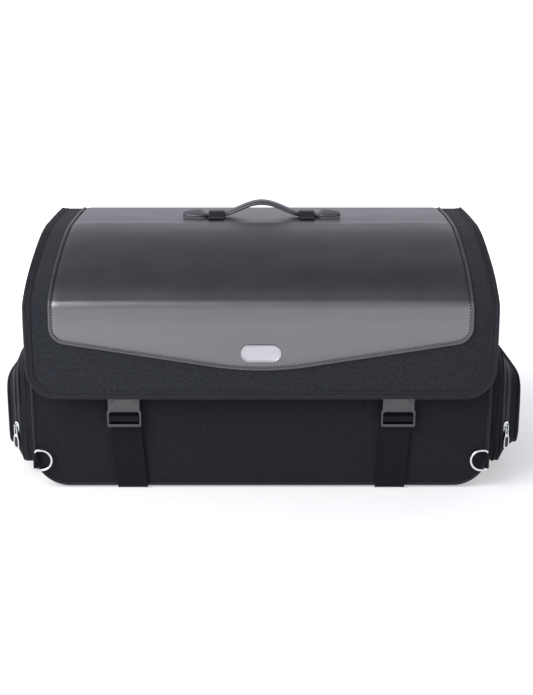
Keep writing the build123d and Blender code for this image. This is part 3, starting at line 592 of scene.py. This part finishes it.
def edge_strip(name, path, profile, material, replaces=(), pucker=0.0, thickness=0.6 * MM, step=2 * MM):
    """Tape or a turned edge along an outline on the lid; profile lists (in from the edge, height) across it."""
    stations = even_path(path, step)
    run = [0.0]
    for a, b in zip(profile, profile[1:]):
        run.append(run[-1] + hypot(b[0] - a[0], b[1] - a[1]))
    crest, last = max(height for _, height in profile), len(profile) - 1

    def place(column, row):
        point, heading = stations[int(column)]
        inset, height = profile[int(row)]
        inward = Vector((heading.y, -heading.x))
        gather = pucker * drift(column * step, row * 0.002, 5.1, 0.0045) if 0 < row < last else 0.0
        spot = point + inward * inset * MM
        lift = (height + gather * height / crest) * MM
        return (column * step, run[int(row)] * MM), on_lid(spot.x, max(spot.y, 0.0), lift)

    bm = cloth(list(range(len(stations))), list(range(len(profile))), place, flip=True)
    return piece(name, bm, material, "lid", replaces, thickness)


def lid():
    """The flap: cloth over its board, bound edge, leather cover with a turned and sewn edge, and lining."""
    in_tape, lining_inset = 1.3 * MM, 11 * MM
    half, radius = lid_half - in_tape, lid_corner - in_tape

    def cloth_place(across, share):
        along = share * (lid_length - in_tape - corner_rise(across, half, radius))
        return (across, along), on_lid(across, along, 0.0)

    bm = cloth(across_columns(half, radius, 100), shares(200), cloth_place, flip=True)
    piece("lid_cloth_top", bm, lid_cloth, "lid", ["lid_panel"], thickness=3.8 * MM)
    inner_half, inner_corner = lid_half - lining_inset, lid_corner - lining_inset

    def lining_place(across, share):
        along = share * (lid_length - lining_inset - corner_rise(across, inner_half, inner_corner))
        y, z, angle = side_profile(along)
        lift = -6.9 * MM + 0.3 * MM * drift(across, along, 4.0, 0.02)
        return (across, along), Vector((across, y - lift * sin(angle), z + lift * cos(angle)))

    bm = cloth(across_columns(inner_half, inner_corner, 60), shares(120), lining_place)
    piece("lid_lining_cloth", bm, lining_nylon, "lid", ["lid_lining"], thickness=0.8 * MM)

    sewn_flat = ((10.6, 0.1), (10.3, 0.8), (9.2, 1.1), (7.6, 0.7), (6.4, 1.0), (5.6, 0.6))
    bead = ((4.6, 1.3), (3.0, 1.9), (1.4, 1.7), (0.3, 0.7), (-0.2, -1.2), (-0.2, -4.6))
    under = ((0.3, -6.7), (1.4, -7.8), (5.0, -7.9), (9.5, -7.8), (10.5, -7.2))
    profile = sewn_flat + bead + under
    edge_strip(
        "lid_edge_tape", lid_path(0.0), profile, edge_tape, ["lid_binding"], 0.9, 0.5 * MM, 1.5 * MM
    )
    row = frames_along(lambda x, s: on_lid(x, s, 0.85 * MM), lid_path(7.6 * MM), 3.4 * MM)
    stitches("lid_edge_stitches", row, thread, "lid", 2.4 * MM, 1.4 * MM, 0.9 * MM)

    def leather_place(across, share):
        along = share * leather_end(across)
        near = min(leather_half - abs(across), leather_end(across) - along)
        padding = 1.0 * MM + 0.9 * MM * smooth_step(0.0, 14 * MM, near)
        return (across, along), on_lid(across, along, padding - 0.45 * MM * bell(near - seam, 1.1 * MM))

    seam = 4.4 * MM
    columns = across_columns(leather_half, leather_corner, 150, 16)
    bm = cloth(columns, shares(240), leather_place, flip=True)
    piece("lid_leather_cover", bm, cover_leather, "lid", ["lid_leather"], thickness=1.0 * MM)
    turned = ((-0.3, 0.1), (-0.4, 1.1), (0.2, 1.8), (1.2, 2.0), (2.2, 1.7), (2.9, 1.1))
    edge_strip("lid_leather_edge", leather_path(0.0), turned, handle_leather, (), 0.25, 0.4 * MM)
    row = frames_along(lambda x, s: on_lid(x, s, 1.25 * MM), leather_path(seam), 3.8 * MM)
    stitches("lid_leather_stitches", row, thread, "lid", 2.4 * MM, 1.4 * MM, 0.8 * MM)


# ---------------------------------------------------------------- body
body_corner = 45 * MM
skin = 4.8 * MM


def rim_height(y):
    """Height of the mouth's rim at a depth, just under the closed lid."""
    under = 8 * MM
    flat = bends[0][0]
    if y >= flat:
        return mouth_z
    in_crease = y > flat - (crease_radius - under) * sin(crease_angle)
    centre_y, centre_z, radius = bends[0 if in_crease else 1][:3]
    return centre_z + sqrt((radius - under) ** 2 - (centre_y - y) ** 2)


def body_relief(x, z, seed):
    """Slack of the body's cloth: soft waves, pulled in beside the straps."""
    waves = 1.1 * MM * drift(x, z, seed, 0.09) + 0.5 * MM * drift(x, z, seed + 3, 0.035)
    edge = smooth_step(0.0, 0.03, body_half - abs(x)) * smooth_step(0.0, 0.03, z - base_z)
    pull = -0.8 * MM * bell(abs(x) - 0.174, 0.03)
    return (waves + pull) * edge


def upright_cloth(y, outward, seed, inset=0.0):
    """Columns, rows and places of a front or rear panel, set in from the shell's outside."""
    half, radius, low = body_half - inset, body_corner - inset, base_z + inset
    limit = min(rim_height(y), mouth_z) - 2 * MM

    def place(x, share):
        start = low + corner_rise(x, half, radius)
        z = start + share * (limit - start)
        return (x, z), Vector((x, y + outward * body_relief(x, z, seed), z))

    return across_columns(half, radius, 110), shares(90), place


def wrapped_cloth(inset, gap):
    """Columns, rows and places of cloth down the left side, under the base and up the right side."""
    half, radius, low = body_half - inset, body_corner - inset, base_z + inset
    slack = 1 if inset == 0 else 0.4
    stops = []
    for part, count in (("left", 50), ("left_turn", 14), ("base", 60), ("right_turn", 14), ("right", 50)):
        stops += [(part, i / count) for i in range(count)]
    stops.append(("right", 1.0))

    def place(column, y):
        part, share = stops[int(column)]
        high = min(rim_height(y), mouth_z) - 2 * MM
        edge = smooth_step(0.0, 0.03, y - front_y) * smooth_step(0.0, 0.03, rear_y - y)
        if part in ("left", "right"):
            drop = share if part == "left" else 1 - share
            z = high + drop * (low + radius - high)
            waves = 0.9 * MM * drift(y, z, 6.0, 0.08) + 0.4 * MM * drift(y, z, 8.0, 0.03)
            x = half + edge * waves * slack
            run = -(half + z) if part == "left" else half + z
        elif part == "base":
            x, z = (2 * share - 1) * (half - radius), low
            run = x
        else:
            angle = pi / 2 * (share if part == "left_turn" else 1 - share)
            x, z = half - radius + radius * cos(angle), low + radius - radius * sin(angle)
            run = (-1 if part == "left_turn" else 1) * (half - radius * angle)
        return (run, y), Vector((-x if part.startswith("left") else x, y, z))

    return list(range(len(stops))), shares(70, front_y + gap, rear_y - gap), place


def body():
    """The shell and its lining: front, rear, and a strip round the sides and base, with piped corners."""
    for name, y, outward in (("front", front_y, -1), ("rear", rear_y, 1)):
        bm = cloth(*upright_cloth(y, outward, 2.0 + outward), flip=outward > 0)
        piece(name + "_cloth", bm, shell_cloth, "bag", [name + "_panel"], thickness=skin)
    bm = cloth(*wrapped_cloth(0.0, 0.3 * MM), flip=True)
    panels = ["side_panel_left", "side_panel_right", "base_panel"]
    piece("side_and_base_cloth", bm, shell_cloth, "bag", panels, thickness=skin)

    inside, ply = 7.2 * MM, 0.6 * MM
    bm = cloth(*wrapped_cloth(inside, 7.3 * MM))
    piece("lining_cloth", bm, lining_nylon, "bag", ["lining"], thickness=ply)
    for name, y, outward in (("lining_front", front_y + inside, -1), ("lining_rear", rear_y - inside, 1)):
        bm = cloth(*upright_cloth(y, outward * 0.4, 5.0, inside), flip=outward < 0)
        piece(name, bm, lining_nylon, "bag", thickness=ply)

    sink = 1 * MM
    half, low, bend = body_half - sink, base_z + sink, body_corner - sink
    for name, y, z_top in (("piping_front", front_y + sink, 252.5 * MM), ("piping_rear", rear_y - sink, 287.3 * MM)):
        line = [Vector((p.x, y, p.y)) for p in rounded_outline(half, low, z_top, bend, 4 * MM)]
        tube(name + "_cord", line, 2.4 * MM, edge_tape, "bag", [name])


def mouth():
    """Tape over the rim of the mouth, and the cloth hinge that joins the lid to the rear panel."""
    corners, reach, step = 6, 8 * MM, 6 * MM
    middle_y, half_depth = (rear_y + front_y) / 2, (rear_y - front_y) / 2
    ring = []
    for side, end, start in ((1, 1, 0), (-1, 1, 90), (-1, -1, 180), (1, -1, 270)):
        middle = Vector((side * (body_half - reach), middle_y + end * (half_depth - reach)))
        for i in range(corners + 1):
            angle = radians(start + 90 * i / corners)
            outward = Vector((cos(angle), sin(angle)))
            ring.append((middle + outward * reach, outward))
    stations = []
    for (p, n), (q, m) in zip(ring, ring[1:] + ring[:1]):
        parts = max(int((q - p).length / step), 1)
        stations += [(p.lerp(q, i / parts), n.lerp(m, i / parts).normalized()) for i in range(parts)]
    stations.append(stations[0])
    outer = ((0.3, -10), (0.5, -2.2), (0.2, -1.2), (-0.8, -0.2), (-2.5, 0))
    profile = outer + ((-5.6, 0), (-7.2, -0.4), (-8.0, -1.6), (-8.0, -10))

    def rim_place(column, row):
        point, outward = stations[int(column)]
        out, up = profile[int(row)]
        spot = point + outward * out * MM
        return (column * step, row * 3 * MM), Vector((spot.x, spot.y, rim_height(point.y) + up * MM))

    bm = cloth(list(range(len(stations))), list(range(len(profile))), rim_place, join=True)
    piece("mouth_tape", bm, edge_tape, "bag", ["mouth_binding"], thickness=0.8 * MM, subdivide=1)

    hinge_low, hinge_high, hinge_half = 0.2874, 0.3234, 0.289

    def hinge_place(across, z):
        bow = 0.5 * MM * sin(pi * (z - hinge_low) / (hinge_high - hinge_low))
        return (across, z), Vector((across, rear_y + 1.2 * MM + bow, z))

    bm = cloth(shares(120, -hinge_half, hinge_half), shares(24, hinge_low, hinge_high), hinge_place, flip=True)
    old = ["hinge_strip", "lid_hinge_tape"]
    hinge = piece("hinge_cloth", bm, lid_cloth, None, old, thickness=0.9 * MM)
    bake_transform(hinge)


# ---------------------------------------------------------------- straps
strap_half = 19 * MM
strap_base_x, strap_top_x = 169 * MM, 177 * MM
strap_out = 3.8 * MM


def webbing(name, side, line, centre, body, replaces, crumple, half=strap_half, thickness=1.8 * MM, closed=False):
    """A flat strap along a line of (depth, height), with worn ribs and slight crosswise wrinkles."""
    stations = even_path([Vector(p) for p in line], 1.6 * MM)
    if closed:
        stations[-1] = stations[0]
    columns = [-1, -0.96, -0.88] + [i / 8 for i in range(-6, 7)] + [0.88, 0.96, 1]

    def place(column, row):
        point, heading = stations[int(row)]
        out = Vector((heading.y, -heading.x))
        x, run = centre(point.y) + column * half, row * 1.6 * MM
        fine, broad = drift(column * 0.011, run, side * 3.3, 0.0042), drift(x, run, 7.0, 0.013)
        rough = crumple(point.y) * (fine + 0.4 * broad)
        edge = -0.5 * MM * smooth_step(0.9, 1.0, abs(column))
        spot = point + out * (rough + edge)
        return (column * half, run), Vector((side * x, spot.x, spot.y))

    bm = cloth(columns, list(range(len(stations))), place, flip=side < 0, join=closed)
    return piece(name, bm, strap_webbing, body, replaces, thickness)


def straps():
    """The two straps that go under the bag, and their turns round the adjusters' bars."""
    out, bend, top = strap_out, 4.8 * MM, 112.0 * MM
    front, rear = front_y - out, rear_y + out
    quarter = shares(6, 0.0, pi / 2)
    rear_line = [(rear, 93.8 * MM), (rear, bend)]
    rear_line += [(rear - bend + bend * cos(a), bend - bend * sin(a)) for a in quarter[1:]]
    front_line = [(front + bend - bend * sin(a), bend - bend * cos(a)) for a in quarter] + [(front, top)]

    def centre(z):
        return strap_base_x + (strap_top_x - strap_base_x) * min(max((z - bend) / (top - bend), 0), 1)

    def rear_centre(z):
        return strap_base_x

    def front_crumple(z):
        return (0.12 + 0.5 * smooth_step(0.03, 0.07, z)) * MM * smooth_step(0.0, 0.012, z)

    for word, side in (("left", -1), ("right", 1)):
        whole = rear_line + front_line[:1]
        webbing(f"strap_{word}_rear", side, whole, rear_centre, "bag", (), lambda z: 0.25 * MM)
        webbing(f"strap_{word}_front", side, front_line, centre, "bag", [f"strap_{word}"], front_crumple)
        bar_y, bar_z, wide, high = -155.25 * MM, 97.8 * MM, 3.1 * MM, 4.3 * MM
        loop = []
        for i in range(33):
            a = -2 * pi * i / 32
            loop.append((bar_y + wide * squared(cos(a), 0.7), bar_z + high * squared(sin(a), 0.8)))
        webbing(
            f"strap_turn_{word}_loop", side, loop, lambda z: strap_top_x, f"plug_{word}", [f"strap_turn_{word}"],
            lambda z: 0.12 * MM, thickness=1.3 * MM, closed=True,
        )


# ---------------------------------------------------------------- pockets
pocket_stops = ((0.0, 240, 11.8, 216.8), (23.0, 228, 13.8, 169.8), (42.0, 192, 51.8, 129.8))
pocket_reach, face_reach = 42 * MM, 38 * MM
zip_reach = 30 * MM
zip_end_z = 45.8 * MM


def pocket_size(out):
    """Length, lowest and highest point of a pocket's section, with its corners eased."""
    def plain(place):
        place = min(max(place, 0.0), 42.0)
        near, far = pocket_stops[:2] if place <= 23 else pocket_stops[1:]
        share = (place - near[0]) / (far[0] - near[0])
        return [a + (b - a) * share for a, b in zip(near[1:], far[1:])]

    samples = [plain(out / MM + shift) for shift in (-6, 0, 0, 6)]
    return [sum(values) / 4 * MM for values in zip(*samples)]


def pocket_raw(side, around, reach):
    """The pocket's plain stuffed shape: around its section in turns, and how far out or in over its face."""
    out = min(reach, pocket_reach)
    length, low, high = pocket_size(out)
    shrink = 1.0 - max(reach - pocket_reach, 0.0) / face_reach
    dome = 3.0 * MM * (1 - shrink**2)
    a = 2 * pi * around
    power = 0.32 + 0.18 * (1 - shrink)
    low -= 9 * MM * smooth_step(0.2, 0.7, out / pocket_reach)
    y = length / 2 * shrink * squared(cos(a), power)
    z = (high - low) / 2 * shrink * squared(sin(a), power)
    fuller = (9 * MM if side > 0 else 2 * MM) * smooth_step(31 * MM, pocket_reach, reach)
    return Vector((side * (body_half + out + dome + fuller), (front_y + rear_y) / 2 + y, (high + low) / 2 + z))


def on_pocket(side, around, reach, lift=0.0):
    """A point of the pocket, with the folds of its cloth, and lifted off it."""
    origin = pocket_raw(side, around, reach)
    ahead = pocket_raw(side, around + 0.002, reach) - pocket_raw(side, around - 0.002, reach)
    outward = pocket_raw(side, around, reach + 0.4 * MM) - pocket_raw(side, around, max(reach - 0.4 * MM, 0))
    normal = ahead.cross(outward).normalized()
    if normal.dot(Vector((side, 0, 0)) + (origin - Vector((side * body_half, 0.0076, 0.09))).normalized()) < 0:
        normal = -normal
    seam = min(abs(reach - zip_reach), abs(reach - 40 * MM), max(reach, 0.0))
    loose = smooth_step(0.0, 9 * MM, seam)
    folds = 1.5 * MM * drift(origin.y * 0.35, origin.z, 3.0 * side + reach * 30, 0.022)
    folds += 0.9 * MM * drift(origin.y, origin.z * 0.5, 9.0 * side, 0.03)
    return origin + normal * (lift + folds * loose)


def pockets():
    """A stuffed pocket on each end: gusset, zip with its two tapes and teeth, and a face that opens downwards."""
    turns = shares(160)
    for word, side in (("left", -1), ("right", 1)):
        def skin_place(lift):
            def place(around, reach):
                return (around * 0.75, reach), on_pocket(side, around % 1.0, reach, lift)
            return place

        gusset = [-0.01 * MM] + [zip_reach * i / 24 for i in range(1, 24)] + [zip_reach - 0.2 * MM]
        bm = cloth(turns, gusset, skin_place(0.0), flip=side < 0, join=True)
        old = [f"pocket_gusset_{word}"]
        piece(f"pocket_{word}_gusset", bm, shell_cloth, "bag", old, thickness=2.2 * MM)
        face = [zip_reach + 0.2 * MM] + [zip_reach + 12 * MM * i / 8 for i in range(1, 9)]
        face += [pocket_reach + face_reach * i / 20 for i in range(1, 21)]
        bm = cloth(turns, face, skin_place(0.0), flip=side < 0, join=True)
        door, old = f"pocket_door_{word}", [f"pocket_face_{word}"]
        piece(f"pocket_{word}_face", bm, shell_cloth, door, old, thickness=2.0 * MM)

        zipped = [a for a in turns if on_pocket(side, a, zip_reach).z > zip_end_z]
        first = next(i for i, a in enumerate(turns) if a in zipped and turns[i - 1] not in zipped and i > 80)
        course = [a for a in turns[first:] if a in zipped] + [1.0 + a for a in turns[1:first] if a in zipped]
        for half, near, body in (("inner", -4.4, "bag"), ("outer", 0.8, door)):
            rows = [zip_reach + (near + 3.6 * i / 4) * MM for i in range(5)]
            bm = cloth(course, rows, skin_place(0.5 * MM), flip=side < 0)
            old = [f"zip_{half}_{word}"]
            piece(f"zip_tape_{half}_{word}", bm, zip_tape_cloth, body, old, thickness=0.5 * MM)
            tooth_reach = zip_reach + (-1.1 if half == "inner" else 1.1) * MM
            path = [Vector((a, tooth_reach)) for a in course]
            row = frames_along(lambda a, r: on_pocket(side, a % 1.0, r, 0.9 * MM), path, 2.1 * MM)
            stitches(f"zip_teeth_{half}_{word}", row, zip_coil, body, 1.3 * MM, 1.9 * MM, 1.2 * MM)
        ridge = [on_pocket(side, a, 40 * MM, 0.5 * MM) for a in turns[:-1]]
        tube(f"pocket_{word}_piping", ridge, 1.7 * MM, edge_tape, door, closed=True)
        seam = [on_pocket(side, a, 24.5 * MM, 0.2 * MM) for a in turns[:-1]]
        tube(f"pocket_{word}_seam", seam, 1.1 * MM, edge_tape, "bag", closed=True)


# ---------------------------------------------------------------- handle
grip_y = (grip_low.y + grip_high.y) / 2
handle_floor = grip_low.z


def grip_height(x):
    """Middle height of the grip above the leather: low in the keepers, bowed between them."""
    share = min(abs(x) / (60 * MM), 1.0)
    return handle_floor + 2.75 * MM + 17.5 * MM * (0.5 + 0.5 * cos(pi * share)) ** 0.85


def grip_width(x):
    """Half width of the grip: wide where the hand holds it, narrow in the keepers."""
    return 8 * MM + 7 * MM * (1 - smooth_step(44 * MM, 54 * MM, abs(x)))


def handle():
    """The sprung carrying handle: padded grip, pointed end tabs and the two keepers that they slide through."""
    columns = [-76 * MM + 152 * MM * i / 100 for i in range(101)]
    turn = 28

    def grip_place(x, row):
        a = 2 * pi * row / turn
        y = grip_width(x) * squared(cos(a), 0.55)
        z = 2.7 * MM * squared(sin(a), 0.7)
        if z > 0:
            edge_roll = bell(abs(y) - grip_width(x) * 0.8, 0.0016)
            z += 0.8 * MM * (1 - (y / grip_width(x)) ** 2) + 0.5 * MM * edge_roll
        return (x, row / turn * 0.07), Vector((x, grip_y + y, grip_height(x) + z))

    bm = cloth(columns, list(range(turn + 1)), grip_place, join=True)
    bmesh.ops.holes_fill(bm, edges=bm.edges)
    bmesh.ops.recalc_face_normals(bm, faces=bm.faces)
    grip = piece("handle_grip_padded", bm, handle_leather, "lid", ["handle_grip"])
    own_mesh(grip)

    def keeper_place(x, y):
        rise = 1 - smooth_step(8 * MM, 13 * MM, abs(y))
        height = 1.9 * MM + 6.0 * MM * rise - 0.4 * MM * (abs(y) / 0.026) ** 2
        return (x, y), Vector((x, grip_y + y, handle_floor + height))

    for word, side in (("left", -1), ("right", 1)):
        spots = [side * (53 + 22 * i / 8) * MM for i in range(9)]
        bm = cloth(sorted(spots), [(-26.3 + 52.6 * i / 44) * MM for i in range(45)], keeper_place)
        old = ["handle_keepers"] if side < 0 else ()
        keeper = piece(f"handle_keeper_{word}", bm, edge_tape, "lid", old, thickness=1.7 * MM)
        edge = keeper.modifiers.new("edges", "BEVEL")
        edge.width, edge.segments, edge.limit_method = 0.5 * MM, 2, "ANGLE"

        def tab_half(x):
            share = (abs(x) / MM - 76.1) / 36.0
            swell = 8 + 7 * smooth_step(0.0, 0.3, share) - 6.5 * smooth_step(0.35, 1.0, share)
            tip = sqrt(max(1 - max((share - 0.82) / 0.18, 0.0) ** 2, 0.0))
            return swell * tip * MM

        def tab_place(x, row):
            a = 2 * pi * row / 24
            y = tab_half(x) * squared(cos(a), 0.6)
            inner = 1 - smooth_step(0.0, 2.6 * MM, tab_half(x) - abs(y))
            z = 2.4 * MM * squared(sin(a), 0.7)
            if sin(a) > 0:
                z += 0.5 * MM * inner
            lean = 0.16 * (y + tab_half(x)) * smooth_step(76 * MM, 90 * MM, abs(x))
            return (x, y + a * 0.01), Vector((x, grip_y + y, handle_floor + 2.6 * MM + z + lean))

        spots = sorted(side * (76.1 + 36.0 * i / 40) * MM for i in range(41))
        bm = cloth(spots, list(range(25)), tab_place, join=True)
        bmesh.ops.holes_fill(bm, edges=bm.edges)
        bmesh.ops.recalc_face_normals(bm, faces=bm.faces)
        tab = f"handle_tab_{word}"
        piece(tab + "_leaf", bm, handle_leather, tab, [tab])


# ---------------------------------------------------------------- rings and plastic
ring_x, ring_gap, ring_z = body_half - 2 * MM, 5.2 * MM, 39.3 * MM


def ring_wire(side, y):
    """The wire of a D-ring: a straight bar, two short legs and a round bow towards the bag's middle."""
    high, bend, leg = 13.5 * MM, 3.4 * MM, 7.4 * MM
    line = [(0.0, 0.0), (0.0, high - bend)]
    line += [(-bend + bend * cos(a), high - bend + bend * sin(a)) for a in (pi / 2 * i / 8 for i in range(1, 9))]
    line += [(-leg - high * sin(a), high * cos(a)) for a in (pi * i / 28 for i in range(29))]
    line += [(-bend + bend * sin(a), -high + bend - bend * cos(a)) for a in (pi / 2 * i / 8 for i in range(8))]
    line += [(0.0, -high + bend)]
    return [Vector((side * (ring_x + x), y, ring_z + z)) for x, z in line]


def rings():
    """The four bright D-rings and the webbing loops that hold them in the corner seams."""
    tabs = bmesh.new()
    for end, y, away in (("front", front_y - ring_gap, -1), ("rear", rear_y + ring_gap, 1)):
        for word, side in (("left", -1), ("right", 1)):
            name = f"d_ring_{end}_{word}"
            tube(name + "_wire", ring_wire(side, y), 1.65 * MM, bright_nickel, name, [name], True, 5)

            def place(column, row):
                a = 2 * pi * row / 24
                x = 3.3 * MM * cos(a)
                back = smooth_step(0.1, 1.0, sin(a))
                depth = 3.3 * MM * sin(a) + 1.6 * MM * back
                return (column, row * 0.9 * MM), Vector((side * (ring_x + x - 0.2 * MM), y - away * depth, ring_z + column))

            rows = list(range(25))
            columns = [(-10.3 + 20.6 * i / 16) * MM for i in range(17)]
            loop = cloth(columns, rows, place, join=True)
            bmesh.ops.recalc_face_normals(loop, faces=loop.faces)
            mesh = bpy.data.meshes.new("loop")
            loop.to_mesh(mesh)
            loop.free()
            tabs.from_mesh(mesh)
            bpy.data.meshes.remove(mesh)
    piece("d_ring_loops", tabs, strap_webbing, "bag", ["d_ring_tabs"], thickness=1.3 * MM)


def hardware():
    """Moulded and metal parts keep their frame shape, with edges as a mould or a press leaves them."""
    for word in ("left", "right"):
        softened(f"buckle_plug_{word}", 0.7 * MM, buckle_plastic, f"plug_{word}", 3)
        softened(f"buckle_socket_{word}", 0.6 * MM, buckle_plastic, "lid")
        for part in ("outer", "inner"):
            softened(f"plug_arm_{part}_{word}", 0.6 * MM, buckle_plastic, f"arm_{part}_{word}")
        softened(f"zip_pull_{word}", 0.4 * MM, bright_nickel, f"zip_pull_{word}")
        softened(f"zip_slider_{word}", 0.3 * MM, bright_nickel, f"zip_slider_{word}")
        softened(f"zip_pull_insert_{word}", 0.3 * MM, insert_rubber, f"zip_pull_{word}")
    softened("badge", 0.35 * MM, badge_metal, "lid")
    for node, obj in nodes.items():
        obj.data.materials.clear()
        obj.data.materials.append(strap_webbing if "webbing" in node else board_plastic)


# ---------------------------------------------------------------- studio
def studio():
    """Pale floor and surroundings, a large soft lamp above on the left, and the camera."""
    bm = bmesh.new()
    bmesh.ops.create_grid(bm, x_segments=1, y_segments=1, size=6.0)
    mesh = bpy.data.meshes.new("floor")
    bm.to_mesh(mesh)
    bm.free()
    floor = bpy.data.objects.new("floor", mesh)
    scene.collection.objects.link(floor)
    paper = bpy.data.materials.new("floor_paper")
    paper.use_nodes = True
    tree = paper.node_tree
    tree.nodes["Principled BSDF"].inputs["Base Color"].default_value = (0.9, 0.9, 0.9, 1)
    surface = tree.nodes["Principled BSDF"]
    surface.inputs["Roughness"].default_value = 0.9
    surface.inputs["Specular IOR Level"].default_value = 0.0
    surface.inputs["Emission Color"].default_value = (1, 1, 1, 1)
    seen = tree.nodes.new("ShaderNodeLightPath")
    rays = calc(tree, "ADD", seen.outputs["Is Camera Ray"], seen.outputs["Is Glossy Ray"])
    rays = calc(tree, "MINIMUM", calc(tree, "ADD", rays, seen.outputs["Is Transmission Ray"]), 1.0)
    coords = tree.nodes.new("ShaderNodeTexCoord")
    far = tree.nodes.new("ShaderNodeVectorMath")
    far.operation = "LENGTH"
    tree.links.new(coords.outputs["Object"], far.inputs[0])
    fade = tree.nodes.new("ShaderNodeMapRange")
    fade.inputs["From Min"].default_value, fade.inputs["From Max"].default_value = 0.3, 1.3
    fade.inputs["To Min"].default_value, fade.inputs["To Max"].default_value = 0.42, 1.0
    tree.links.new(far.outputs["Value"], fade.inputs["Value"])
    tree.links.new(calc(tree, "MULTIPLY", rays, fade.outputs["Result"]), surface.inputs["Emission Strength"])
    mesh.materials.append(paper)

    world = bpy.data.worlds.new("studio")
    scene.world = world
    world.use_nodes = True
    tree = world.node_tree
    sky = tree.nodes["Background"]
    paths = tree.nodes.new("ShaderNodeLightPath")
    coords = tree.nodes.new("ShaderNodeTexCoord")
    parts = tree.nodes.new("ShaderNodeSeparateXYZ")
    tree.links.new(coords.outputs["Generated"], parts.inputs[0])
    ramp = tree.nodes.new("ShaderNodeValToRGB")
    stops = ((0.0, 0.9), (0.1, 0.85), (0.183, 0.42), (0.24, 0.25), (0.28, 0.15), (0.36, 0.08), (0.42, 0.08), (0.5, 0.22))
    stops += ((0.62, 0.55), (1.0, 0.95))
    for i, (position, value) in enumerate(stops):
        ends = {0: 0, len(stops) - 1: -1}
        stop = ramp.color_ramp.elements[ends[i]] if i in ends else ramp.color_ramp.elements.new(position)
        stop.position, stop.color = position, (value, value * 0.99, value * 1.1, 1)
    over = calc(tree, "DIVIDE", calc(tree, "ARCTAN2", parts.outputs["Z"], parts.outputs["Y"]), pi)
    tree.links.new(over, ramp.inputs["Fac"])
    soft = tree.nodes.new("ShaderNodeMix")
    soft.data_type = "RGBA"
    soft.inputs["A"].default_value = (0.32, 0.33, 0.37, 1)
    tree.links.new(ramp.outputs["Color"], soft.inputs["B"])
    tree.links.new(paths.outputs["Is Glossy Ray"], soft.inputs["Factor"])
    mix = tree.nodes.new("ShaderNodeMix")
    mix.data_type = "RGBA"
    mix.inputs["B"].default_value = (1, 1, 1, 1)
    tree.links.new(soft.outputs["Result"], mix.inputs["A"])
    tree.links.new(paths.outputs["Is Camera Ray"], mix.inputs["Factor"])
    tree.links.new(mix.outputs["Result"], sky.inputs["Color"])

    def lamp(name, place, aim, size, power):
        data = bpy.data.lights.new(name, "AREA")
        data.shape, data.size, data.energy = "SQUARE", size, power
        obj = bpy.data.objects.new(name, data)
        obj.location = place
        obj.rotation_euler = (Vector(aim) - Vector(place)).to_track_quat("-Z", "Y").to_euler()
        scene.collection.objects.link(obj)

    lamp("key", (-1.8, -1.3, 1.9), (0, 0, 0.15), 2.0, 54)
    lamp("fill", (1.8, -2.4, 1.0), (0, 0, 0.15), 2.0, 5)

    pitch = radians(15)
    forward = Vector((0, cos(pitch), -sin(pitch)))
    up = Vector((0, sin(pitch), cos(pitch)))
    data = bpy.data.cameras.new("camera")
    data.sensor_fit, data.sensor_height, data.lens = "VERTICAL", 36, 36 * 1200 / 695
    data.clip_end = 50
    camera = bpy.data.objects.new("camera", data)
    camera.location = Vector((0, -0.1691, 0.245)) - forward * 1.5 - up * 0.0469 + Vector((0.0069, 0, 0))
    camera.rotation_euler = forward.to_track_quat("-Z", "Y").to_euler()
    scene.collection.objects.link(camera)
    scene.camera = camera
    scene.view_settings.view_transform = "Standard"


lid()
body()
mouth()
straps()
pockets()
handle()
rings()
hardware()
studio()
